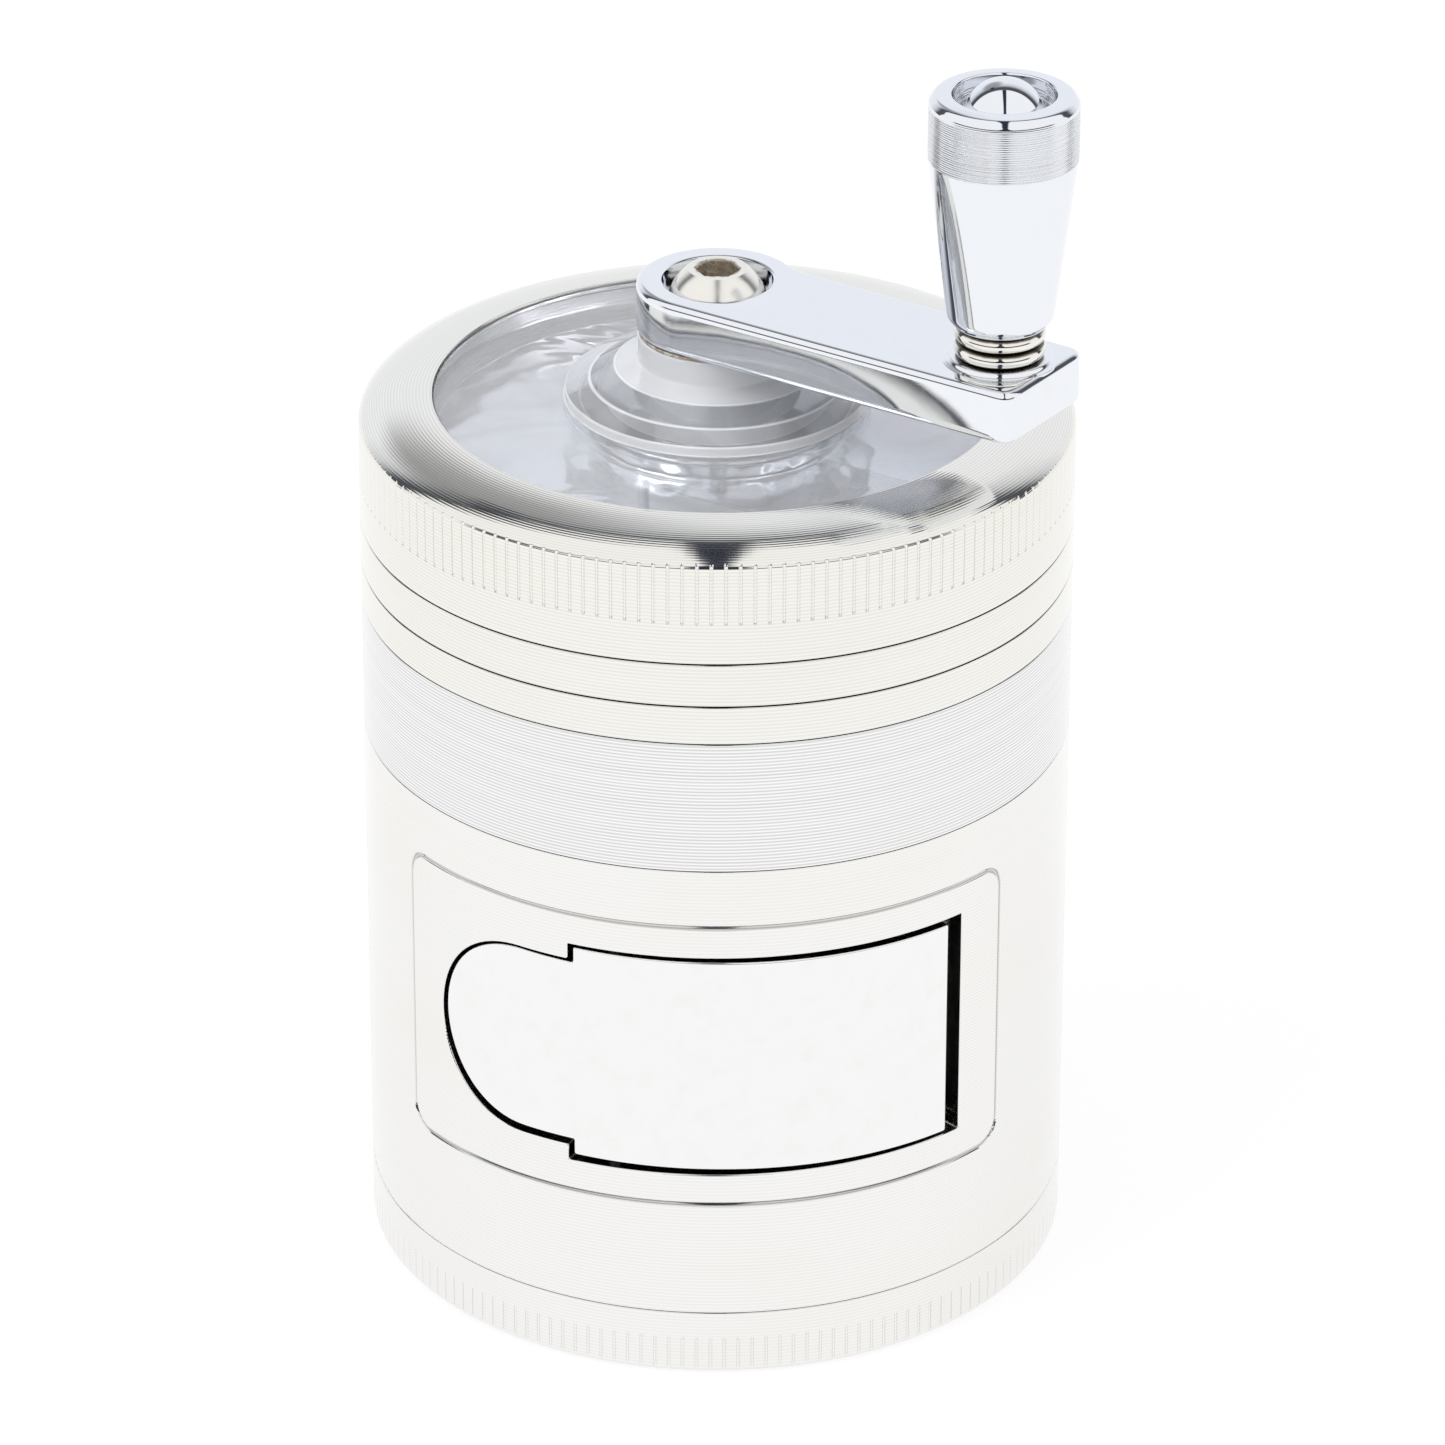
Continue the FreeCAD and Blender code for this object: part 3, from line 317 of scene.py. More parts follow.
class Socket:
    """An output of a material's nodes; sums and products of it add Math nodes."""

    def __init__(self, tree, output):
        self.tree = tree
        self.output = output

    def sum_of(self, operation, first, second):
        """Adds a Math node with two entries."""
        node = self.tree.nodes.new("ShaderNodeMath")
        node.operation = operation
        for entry, value in zip(node.inputs, (first, second)):
            join(self.tree, entry, value)
        return Socket(self.tree, node.outputs[0])

    def __add__(self, other):
        return self.sum_of("ADD", self, other)

    def __radd__(self, other):
        return self.sum_of("ADD", other, self)

    def __sub__(self, other):
        return self.sum_of("SUBTRACT", self, other)

    def __rsub__(self, other):
        return self.sum_of("SUBTRACT", other, self)

    def __mul__(self, other):
        return self.sum_of("MULTIPLY", self, other)

    def __rmul__(self, other):
        return self.sum_of("MULTIPLY", other, self)

    def __pow__(self, other):
        return self.sum_of("POWER", self, other)

    def most(self, other):
        """The larger of two values."""
        return self.sum_of("MAXIMUM", self, other)


def join(tree, entry, value):
    """Links a socket to an entry, or sets the entry's own value."""
    if isinstance(value, Socket):
        tree.links.new(value.output, entry)
    else:
        entry.default_value = value


class Shader:
    """A node tree being filled."""

    def __init__(self, tree):
        self.tree = tree
        tree.nodes.clear()

    def node(self, kind, settings=None, sockets=None, output=0):
        """Adds a node: its settings first, then the values or links of its sockets."""
        node = self.tree.nodes.new(kind)
        for name, value in (settings or {}).items():
            if name == "stops":
                set_stops(node.color_ramp, value)
            else:
                setattr(node, name, value)
        for name, value in (sockets or {}).items():
            join(self.tree, node.inputs[name], value)
        return Socket(self.tree, node.outputs[output]) if node.outputs else None

    def place(self):
        """Object coordinates, the same on every piece because each sits at the origin."""
        return self.node("ShaderNodeTexCoord", output="Object")

    def dot(self, vector, axis):
        """How far coordinates lie along an axis."""
        return self.node("ShaderNodeVectorMath", {"operation": "DOT_PRODUCT"}, {0: vector, 1: axis}, "Value")

    def away(self, vector):
        """Distance from the upright axis."""
        flat = self.stretched(vector, (1.0, 1.0, 0.0))
        return self.node("ShaderNodeVectorMath", {"operation": "LENGTH"}, {0: flat}, "Value")

    def sine(self, value):
        """Sine of a value."""
        return self.node("ShaderNodeMath", {"operation": "SINE"}, {0: value})

    def bump(self, height, distance):
        """A normal tilted by a height from nothing to one, times a distance."""
        return self.node("ShaderNodeBump", {}, {"Height": height, "Distance": distance, "Strength": 1.0})

    def noise(self, vector, scale, detail=3.0, rough=0.5):
        """Soft noise from nothing to one."""
        return self.node("ShaderNodeTexNoise", {}, {"Vector": vector, "Scale": scale, "Detail": detail,
                                                    "Roughness": rough})

    def streaks(self, value, scale):
        """Soft noise along one value, from nothing to one."""
        return self.node("ShaderNodeTexNoise", {"noise_dimensions": "1D"}, {"W": value, "Scale": scale})

    def stretched(self, vector, scale):
        """Coordinates stretched by an amount along each axis."""
        return self.node("ShaderNodeVectorMath", {"operation": "MULTIPLY"}, {0: vector, 1: scale})

    def blend(self, amount, first, second):
        """One colour over another."""
        return self.node("ShaderNodeMix", {"data_type": "RGBA"}, {"Factor": amount, 6: first, 7: second}, 2)

    def ramp(self, value, stops):
        """A value turned into colours."""
        return self.node("ShaderNodeValToRGB", {"stops": stops}, {"Fac": value})

    def fit(self, value, low_in, high_in, low_out, high_out):
        """A value moved smoothly from one range to another."""
        sockets = {"Value": value, "From Min": low_in, "From Max": high_in, "To Min": low_out,
                   "To Max": high_out}
        return self.node("ShaderNodeMapRange", {"interpolation_type": "SMOOTHSTEP"}, sockets)


def set_stops(ramp, stops):
    """Sets a colour ramp's stops from pairs of position and colour."""
    while len(ramp.elements) < len(stops):
        ramp.elements.new(1.0)
    for element, (position, colour) in zip(ramp.elements, stops):
        element.position = position
        element.color = (*colour, 1.0)


# Finishes

def finish(name, paint, **constants):
    """Makes a material; paint gives the Principled sockets that vary, and constants those that don't."""
    material = bpy.data.materials.new(name)
    material.use_nodes = True
    shader = Shader(material.node_tree)
    sockets = paint(shader)
    settings = {key.replace("_", " ").title(): value for key, value in constants.items()}
    settings = {key.replace("Ior", "IOR"): value for key, value in settings.items()}
    surface = shader.node("ShaderNodeBsdfPrincipled", {}, {**settings, **sockets})
    shader.node("ShaderNodeOutputMaterial", {}, {"Surface": surface})
    return material


def shaded(colour, *shades):
    """A colour times a shade, or times one shade for each channel, with its alpha."""
    shades = shades * 3 if len(shades) == 1 else shades
    return (*(channel * shade for channel, shade in zip(colour, shades)), 1.0)


def lathe_lines(shader, where, pitch):
    """Lines of a lathe tool, some deeper than others.

    Their height is (1 + sin(2 pi u / pitch)) / 2, where u is the height less the distance from the axis.
    """
    along = shader.dot(where, (0.0, 0.0, 1.0)) - shader.away(where)
    uneven = shader.streaks(along, 0.3 / pitch)
    wave = shader.sine(along * (TAU / pitch)) * 0.5 + 0.5
    return wave * (0.75 + uneven * 0.5)


def metal(name, colour, roughness, line_depth, line_shade, pitch, wall=0.0):
    """A plated metal with lathe lines, faint warm stains and uneven polish; its colour is darkened as painted
    shade along the lathe lines and in grooves below a wall.
    """
    def paint(shader):
        where = shader.place()
        lines = lathe_lines(shader, where, pitch)
        worn = shader.noise(where, scale=90.0, detail=4.0, rough=0.6)
        cloud = shader.noise(shader.stretched(where, (1.0, 1.0, 2.5)), scale=28.0)
        stain = shader.fit(cloud, 0.45, 0.75, 0.0, 0.6)
        tone = shader.blend(stain, shaded(colour, 1.0), shaded(colour, 0.985, 0.975, 0.95))
        # The lathe lines are real bumps; darkening them in colour as well is painted shade
        tone = shader.blend(lines * line_shade, tone, shaded(colour, 0.2))
        # Painted shade: surfaces lying below the wall, in grooves, the hole's brink and recesses, are
        # darkened
        deep, shallow = wall - 0.2 * MM, wall - 0.02 * MM
        dull = shader.fit(shader.away(where), deep, shallow, 0.35, 0.0)
        tone = shader.blend(dull, tone, shaded(colour, 0.3))
        rough = roughness + (worn - 0.5) * (roughness * 0.6) + lines * (roughness * 0.3)
        return {"Base Color": tone, "Roughness": rough, "Normal": shader.bump(lines, line_depth)}
    return finish(name, paint, metallic=1.0)


def plated(name, colour, roughness, wave):
    """A smooth mirror plate, slightly uneven as castings are under their plating."""
    def paint(shader):
        where = shader.place()
        swell = shader.noise(where, scale=130.0, detail=2.0, rough=0.4)
        haze = shader.noise(where, scale=420.0, detail=4.0, rough=0.65)
        hazy = shader.fit(haze, 0.45, 0.8, 0.0, 0.6)
        tone = shader.blend(hazy, shaded(colour, 1.0), shaded(colour, 0.97, 0.96, 0.94))
        rough = roughness + shader.fit(haze, 0.4, 0.8, 0.0, roughness)
        return {"Base Color": tone, "Roughness": rough, "Normal": shader.bump(swell, wave)}
    return finish(name, paint, metallic=1.0)


def swirled_plate(name, colour):
    """A bright plate with broad swirls and a faint play of blue and rose."""
    def paint(shader):
        where = shader.place()
        bent = shader.node("ShaderNodeTexNoise", {}, {"Vector": where, "Scale": 60.0, "Detail": 2.0,
                                                      "Distortion": 2.0})
        hue = shader.noise(where, scale=110.0, detail=2.0)
        blue, rose = shaded(colour, 0.90, 0.97, 1.04)[:3], shaded(colour, 1.02, 0.94, 1.0)[:3]
        tone = shader.ramp(hue, [(0.3, blue), (0.5, colour), (0.7, rose)])
        return {"Base Color": tone, "Roughness": 0.08 + bent * 0.12, "Normal": shader.bump(bent, 0.9 * MM)}
    return finish(name, paint, metallic=1.0)


def spotted_plate(name, colour, grime_and_joint_shade, least, most):
    """Polished plate that is bare and brownish in spots, between two distances from the axis."""
    def paint(shader):
        where = shader.place()
        away = shader.away(where)
        speck = shader.noise(where, scale=1300.0)
        past = shader.fit(away, least, least + NEAT, 0.0, 1.0)
        inside = past * shader.fit(away, most, most + NEAT, 1.0, 0.0)
        bare = inside * shader.fit(speck, 0.42, 0.56, 0.1, 1.0)
        tone = shader.blend(bare, shaded(colour, 1.0), shaded(grime_and_joint_shade, 1.0))
        return {"Base Color": tone, "Roughness": 0.2 + bare * 0.25 + speck * 0.05}
    return finish(name, paint, metallic=1.0)


def clear_acrylic(name, colour, steps):
    """Clear acrylic with polish haze and a slight swell, and a hub whose steps are given by their radii.

    It is milky within the first step, milky on each step's edge as a painted highlight, and darkened between
    the first two as painted shade.
    """
    material = bpy.data.materials.new(name)
    material.use_nodes = True
    shader = Shader(material.node_tree)
    where = shader.place()
    away = shader.away(where)
    haze = shader.noise(where, scale=300.0)
    swell = shader.noise(where, scale=70.0, detail=2.0)
    tone = shader.blend(haze * 0.5, shaded(colour, 1.0), shaded(colour, 0.96, 0.97, 1.0))
    inner, outer = steps[:2]
    # Painted shade: the band between the first two steps is darkened
    band_shade = shader.fit(away, inner, inner + SOFT, 0.0, 0.9) * shader.fit(away, outer - SOFT, outer, 1.0, 0.0)
    tone = shader.blend(band_shade, tone, shaded(colour, 0.68, 0.69, 0.71))
    # Frosted within the first step; each step's edge is made milky as a painted highlight
    frost_and_edge_highlight = shader.fit(away, inner - SOFT, inner, 0.75, 0.0)
    for step in steps:
        gap = away - step
        frost_and_edge_highlight = frost_and_edge_highlight.most(shader.fit((gap * gap) ** 0.5, SOFT / 3, SOFT, 0.95, 0.0))
    polish = {"Base Color": tone, "Roughness": shader.fit(haze, 0.4, 0.8, 0.0, 0.05), "IOR": 1.49,
              "Normal": shader.bump(swell, 0.1 * MM)}
    thin = shader.node("ShaderNodeBsdfPrincipled", {}, {**polish, "Transmission Weight": 0.8})
    thick = shader.node("ShaderNodeBsdfPrincipled", {}, {**polish, "Transmission Weight": 0.4})
    mixed = shader.node("ShaderNodeMixShader", {}, {0: frost_and_edge_highlight, 1: thin, 2: thick})
    shader.node("ShaderNodeOutputMaterial", {}, {"Surface": mixed})
    return material


def joint_shaded_plate(name, colour, grime_and_joint_shade, foot, pitch):
    """Polished rings, darkened where they meet as painted shade: a whole number of pitches over the foot."""
    def paint(shader):
        where = shader.place()
        tall = shader.dot(where, (0.0, 0.0, 1.0)) - foot
        wave = shader.sine(tall * (math.pi / pitch))
        speck = shader.noise(where, scale=1300.0)
        # Painted shade: dark where the two rings meet
        gap = shader.fit(wave * wave + (speck - 0.5) * 0.2, 0.12, 0.45, 1.0, 0.0)
        tone = shader.blend(gap, shaded(colour, 1.0), shaded(grime_and_joint_shade, 0.25))
        return {"Base Color": tone, "Roughness": 0.05 + gap * 0.2}
    return finish(name, paint, metallic=1.0)


def banded_chrome(name, colour, low_edge, high_edge, pitch):
    """Chrome that keeps its lathe lines in a band between two heights, as bumps and, as painted shade, darker
    in colour.
    """
    def paint(shader):
        where = shader.place()
        tall = shader.dot(where, (0.0, 0.0, 1.0))
        over = shader.fit(tall, low_edge, low_edge + SOFT, 0.0, 1.0)
        band = over * shader.fit(tall, high_edge - 2 * SOFT, high_edge, 1.0, 0.0)
        uneven = shader.streaks(tall, 0.7 / pitch)
        lines = (shader.sine(tall * (TAU / pitch)) * 0.3 + 0.3 + uneven * 0.5) * band
        haze = shader.noise(where, scale=300.0)
        tone = shader.blend(haze * 0.4, shaded(colour, 1.0), shaded(colour, 0.95))
        # The lathe lines are real bumps; darkening them in colour as well is painted shade
        tone = shader.blend(lines * 0.12, tone, shaded(colour, 0.2))
        rough = 0.035 + band * 0.1 + haze * 0.02
        return {"Base Color": tone, "Roughness": rough, "Normal": shader.bump(lines, 0.06 * MM)}
    return finish(name, paint, metallic=1.0)


def woven_wire(name, colour, pitch):
    """Woven wire: two sets of round wires crossing over and under, with open holes between."""
    def paint(shader):
        where = shader.place()
        warp = shader.sine(shader.dot(where, (math.pi / pitch, 0.0, 0.0)))
        weft = shader.sine(shader.dot(where, (0.0, math.pi / pitch, 0.0)))
        wires = (warp * warp).most(weft * weft)
        speck = shader.noise(where, scale=900.0)
        tone = shader.blend(speck, shaded(colour, 1.0), shaded(colour, 0.75))
        return {"Alpha": shader.fit(wires, 0.45, 0.6, 0.0, 1.0), "Base Color": tone,
                "Roughness": 0.25 + speck * 0.2, "Normal": shader.bump(wires + warp * weft, 0.08 * MM)}
    return finish(name, paint, metallic=1.0)


def moulded(name, colour, roughness):
    """Moulded plastic with a fine grain."""
    def paint(shader):
        grain = shader.noise(shader.place(), scale=2500.0)
        tone = shader.blend(grain, shaded(colour, 1.0), shaded(colour, 1.8))
        rough = roughness + grain * 0.15
        return {"Base Color": tone, "Roughness": rough, "Normal": shader.bump(grain, 0.02 * MM)}
    return finish(name, paint)


# Surfaces

def eased(corners, ease, closed=True, steps=5):
    """Rounds an outline's corners.

    Each corner P becomes the curve (1-t)^2 S + 2t(1-t) P + t^2 E, where S and E lie a short way along its
    two sides, and a guard point past each end keeps the straight runs flat in shading.
    """
    guard, largest_part = 1.5, 0.3
    points = np.asarray(corners, float)
    amount = np.array(np.broadcast_to(np.asarray(ease, float), len(points)))
    if not closed:
        amount[[0, -1]] = 0.0
    back = np.roll(points, 1, axis=0) - points
    ahead = np.roll(points, -1, axis=0) - points
    back_length = np.linalg.norm(back, axis=1)
    ahead_length = np.linalg.norm(ahead, axis=1)
    reach = np.minimum(amount, largest_part * np.minimum(back_length, ahead_length))[:, None]
    back = back / back_length[:, None] * reach
    ahead = ahead / ahead_length[:, None] * reach
    t = np.linspace(0.0, 1.0, steps)[None, :, None]
    start, peak, end = (points + back)[:, None], points[:, None], (points + ahead)[:, None]
    curve = (1 - t) ** 2 * start + 2 * t * (1 - t) * peak + t ** 2 * end
    before, after = (points + guard * back)[:, None], (points + guard * ahead)[:, None]
    line = np.concatenate([before, curve, after], axis=1).reshape(-1, points.shape[1])
    if closed:
        line = np.vstack([line, line[:1]])
    fresh = np.linalg.norm(np.diff(line, axis=0), axis=1) > TINY
    return line[np.concatenate([[True], fresh])]


def rounded(rows, closed=True, steps=5):
    """Rounds an outline given as rows of radius, height and rounding."""
    table = np.array(rows, float)
    return eased(table[:, :2], table[:, 2], closed, steps)


def plain(points):
    """Rows of an outline whose points aren't rounded."""
    return [(*point, 0.0) for point in points]


def bow(start, peak, end, pieces):
    """Points of the curve (1-t)^2 S + 2t(1-t) P + t^2 E from start to end, without start itself."""
    start, peak, end = np.array(start), np.array(peak), np.array(end)
    t = np.linspace(0.0, 1.0, pieces + 1)[1:, None]
    return (1 - t) ** 2 * start + 2 * t * (1 - t) * peak + t ** 2 * end


def even(columns):
    """Evenly spaced angles round a circle."""
    return np.arange(columns) * TAU / columns


def turned(profile, angles, centre=(0.0, 0.0), dent=None):
    """Turns a profile of radius and height pairs about an upright axis.

    x = cx + r cos a and y = cy + r sin a, where r is the profile's radius, or less where a dent is deeper.
    """
    radius = np.broadcast_to(profile[:, :1], (len(profile), len(angles)))
    if dent is not None:
        radius = np.minimum(radius, dent(angles[None, :], profile[:, 1:2]))
    tall = np.broadcast_to(profile[:, 1:2], radius.shape)
    return np.stack([centre[0] + radius * np.cos(angles), centre[1] + radius * np.sin(angles), tall], axis=-1)


def knurl(radius, groove, grooves, foot, top):
    """Grooves cut by a ball run up and down the wall, and the angles that show them.

    The wall left is R - sqrt(g^2 - x^2 - d^2), with x the arc from the nearest groove and d the height past
    its end.
    """
    pitch = TAU / grooves
    marks = np.array([-1.15, -1.0, -0.75, 0.0, 0.75, 1.0, 1.15]) * groove / radius
    marks = np.append(marks, pitch / 2)
    angles = (np.arange(grooves)[:, None] * pitch + marks).ravel()

    def dent(angle, height):
        arc = ((angle + pitch / 2) % pitch - pitch / 2) * radius
        past = np.maximum(foot + groove - height, 0.0) + np.maximum(height - top + groove, 0.0)
        return radius - np.sqrt(np.maximum(groove ** 2 - arc ** 2 - past ** 2, 0.0))

    return angles, dent


def knurl_rows(radius, groove, foot, top):
    """Points up a knurled wall, closer together at the grooves' ends."""
    ends = np.array([0.0, 0.12, 0.3, 0.6, 1.0]) * groove
    between = np.linspace(foot + 2 * groove, top - 2 * groove, 4)
    return [(radius, height) for height in np.concatenate([foot + ends, between, (top - ends)[::-1]])]


def holed(inner, outer, middle, hole, holes, start, foot, top):
    """A flat ring with round holes.

    Round each hole the point in direction f runs from the hole's circle to its sector's edge, which is the
    unit square (cos f, sin f) / max(|cos f|, |sin f|) bent to the sector's radii and angles; the hole's wall
    joins top and foot.
    """
    facing = even(64)
    flat = np.stack([np.cos(facing), np.sin(facing)])
    square = flat / np.abs(flat).max(axis=0)
    edge_radius = middle + square[0] * np.where(square[0] > 0, outer - middle, middle - inner)
    edge_angle = square[1] * math.pi / holes
    edge = np.stack([edge_radius * np.cos(edge_angle), edge_radius * np.sin(edge_angle)])
    rim = np.stack([middle + hole * flat[0], hole * flat[1]])
    grids = []
    for angle in start + even(holes):
        spin = np.array([[math.cos(angle), -math.sin(angle)], [math.sin(angle), math.cos(angle)]])
        plan = np.stack([spin @ edge, spin @ rim, spin @ rim, spin @ edge]).transpose(0, 2, 1)
        tall = np.broadcast_to(np.array([top, top, foot, foot])[:, None, None], (*plan.shape[:2], 1))
        grids.append(np.concatenate([plan, tall], axis=2)[::-1])
    return grids


def wrapped(flat, radius):
    """Bends points of angle from the front and height round the body: x = r sin a, y = -r cos a."""
    radius = np.broadcast_to(radius, flat.shape[:-1])
    return np.stack([radius * np.sin(flat[..., 0]), -radius * np.cos(flat[..., 0]), flat[..., 1]], axis=-1)


def closely(points, spacing):
    """A closed outline with points no further apart than a spacing."""
    following = np.roll(points, -1, axis=0)
    runs = []
    for first, second in zip(points, following):
        pieces = max(1, math.ceil(np.linalg.norm(second - first) / spacing))
        runs.append(first + (second - first) * np.arange(pieces)[:, None] / pieces)
    return np.concatenate(runs)


def drawer_outline(sizes, radius, margin, end_gap, ease):
    """Outline of the drawer's hole, drawn in by a margin, as arc lengths and heights, anticlockwise."""
    middle = (sizes.sill + sizes.lintel) / 2
    right = (sizes.right - end_gap) * radius
    step = -sizes.step * radius + margin
    thumb = -sizes.thumb * radius
    round_radius = sizes.thumb_radius - margin
    top, foot = sizes.lintel - margin, sizes.sill + margin
    swing = np.linspace(math.pi / 2, 3 * math.pi / 2, 40)
    end = np.stack([thumb + radius * np.arcsin(round_radius * np.cos(swing) / radius),
                    middle + round_radius * np.sin(swing)], axis=1)
    corners = [(right, top), (step, top), (step, middle + round_radius), *end, (step, middle - round_radius),
               (step, foot), (right, foot)]
    amounts = np.zeros(len(corners))
    amounts[[0, 1, 2, -3, -2, -1]] = ease
    return closely(eased(corners, amounts)[:-1], SPACING)


def round_rectangle(width, foot, top, corner):
    """A rectangle with round corners, as points counted anticlockwise."""
    swing = np.linspace(0.0, math.pi / 2, 12)
    quarter = np.stack([np.cos(swing), np.sin(swing)], axis=1) * corner
    centres = np.array([[width - corner, top - corner], [-width + corner, top - corner],
                        [-width + corner, foot + corner], [width - corner, foot + corner]])
    spins = np.array([[[1, 0], [0, 1]], [[0, -1], [1, 0]], [[-1, 0], [0, -1]], [[0, 1], [-1, 0]]], float)
    arcs = np.einsum("kij,nj->kni", spins, quarter) + centres[:, None]
    return closely(arcs.reshape(-1, 2), SPACING)


def along_rays(curve, centre, rays):
    """Where rays from a centre, given as angles, meet a closed curve round it."""
    away = curve - centre
    angle = np.arctan2(away[:, 1], away[:, 0]) % TAU
    order = np.argsort(angle)
    reach = np.interp(rays % TAU, angle[order], np.linalg.norm(away, axis=1)[order], period=TAU)
    return centre + reach[:, None] * np.stack([np.cos(rays), np.sin(rays)], axis=1)


def fill(mesh_name, grids, sheets=()):
    """Puts grids that close round, and sheets that don't, into one mesh, merged where they meet."""
    corners, quads, start = [], [], 0
    strips = [(grid, grid.shape[1]) for grid in grids]
    strips += [(sheet, sheet.shape[1] - 1) for sheet in sheets]
    for grid, runs in strips:
        rows, columns = grid.shape[:2]
        row, column = np.meshgrid(np.arange(rows - 1), np.arange(runs), indexing="ij")
        after = (column + 1) % columns
        quad = np.stack([row * columns + column, row * columns + after, (row + 1) * columns + after,
                         (row + 1) * columns + column], axis=-1)
        corners.append(grid.reshape(-1, 3))
        quads.append(quad.reshape(-1, 4) + start)
        start += rows * columns
    mesh = bpy.data.meshes.new(mesh_name)
    mesh.from_pydata(np.concatenate(corners).tolist(), [], np.concatenate(quads).tolist())
    work = bmesh.new()
    work.from_mesh(mesh)
    bmesh.ops.remove_doubles(work, verts=work.verts, dist=MERGE)
    bmesh.ops.dissolve_degenerate(work, edges=work.edges, dist=TINY)
    work.to_mesh(mesh)
    work.free()
    mesh.polygons.foreach_set("use_smooth", np.ones(len(mesh.polygons), bool))
    mesh.set_sharp_from_angle(angle=SHARP)
    mesh.update()
    return mesh


def put(name, grids, material, slot, body, *nodes, sheets=()):
    """Adds a piece that rides on a body, takes a finish and stands for CAD nodes, which it hides; its slot is
    not used.
    """
    mesh = fill(name, grids, sheets)
    piece = bpy.data.objects.new(name, mesh)
    bpy.context.scene.collection.objects.link(piece)
    mesh.materials.append(material)
    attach(piece, body)
    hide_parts(*nodes)


def paint_node(name, material):
    """Gives a CAD node a finish."""
    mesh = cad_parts[name].data
    mesh.materials.clear()
    mesh.materials.append(material)


# Pieces, each built by an operator

SMOOTH = even(256)
BAND = even(192)
QUARTER = np.linspace(0.0, math.pi / 2, 6)


def nickel(scene):
    """The upper rings' warm plate, made once."""
    made = bpy.data.materials.get("warm_nickel")
    return made or metal("warm_nickel", tuple(scene.grinder_finishes.nickel), roughness=0.07,
                         line_depth=0.006 * MM, line_shade=0.14, pitch=0.33 * MM)


def pale_nickel(scene, name="pale_nickel", wall=0.0):
    """The housing's and base's plate, made once for each name; given a wall, it has painted shade in the
    grooves below it.
    """
    made = bpy.data.materials.get(name)
    return made or metal(name, tuple(scene.grinder_finishes.pale_nickel), roughness=0.11,
                         line_depth=0.004 * MM, line_shade=0.06, pitch=0.33 * MM, wall=wall)


def chrome(scene):
    """The crank's mirror plate, made once."""
    made = bpy.data.materials.get("mirror_chrome")
    return made or plated("mirror_chrome", tuple(scene.grinder_finishes.chrome), roughness=0.035,
                          wave=0.02 * MM)


def steel(scene):
    """Plain steel inside, made once."""
    made = bpy.data.materials.get("plain_steel")
    return made or metal("plain_steel", tuple(scene.grinder_finishes.steel), roughness=0.28,
                         line_depth=0.004 * MM, line_shade=0.08, pitch=0.3 * MM)


class GRINDER_OT_base(bpy.types.Operator):
    """Build the base cap with its knurled foot"""
    bl_idname = "grinder.base"
    bl_label = "Base Cap"

    def execute(self, context):
        sizes = context.scene.grinder_stack
        radius, bevel, floor = sizes.radius, sizes.foot_bevel, sizes.base_floor
        seam = sizes.base_seam - sizes.thin_gap
        crest = seam + sizes.spigot
        spigot = radius - sizes.lip
        bore = spigot - sizes.bore_wall
        foot, top = -sizes.groove, sizes.base_knurl_high
        wall = [point for point in knurl_rows(radius, sizes.groove, foot, top) if point[1] > bevel + FINE]
        outline = rounded([(0.0, 0.0, 0.0), (radius - bevel, 0.0, MILD), (radius, bevel, MILD), *plain(wall),
                           (radius, seam, sizes.ease), (spigot, seam, 0.0), (spigot, crest, SOFT),
                           (bore, crest, SOFT), (bore, floor, ROUND), (0.0, floor, 0.0)], closed=False)
        angles, dent = knurl(radius, sizes.groove, sizes.grooves, foot, top)
        grid = turned(outline, angles, dent=dent)
        put("base_cap_skin", [grid], pale_nickel(context.scene), "nickel", "base", "base_cap")
        return {"FINISHED"}


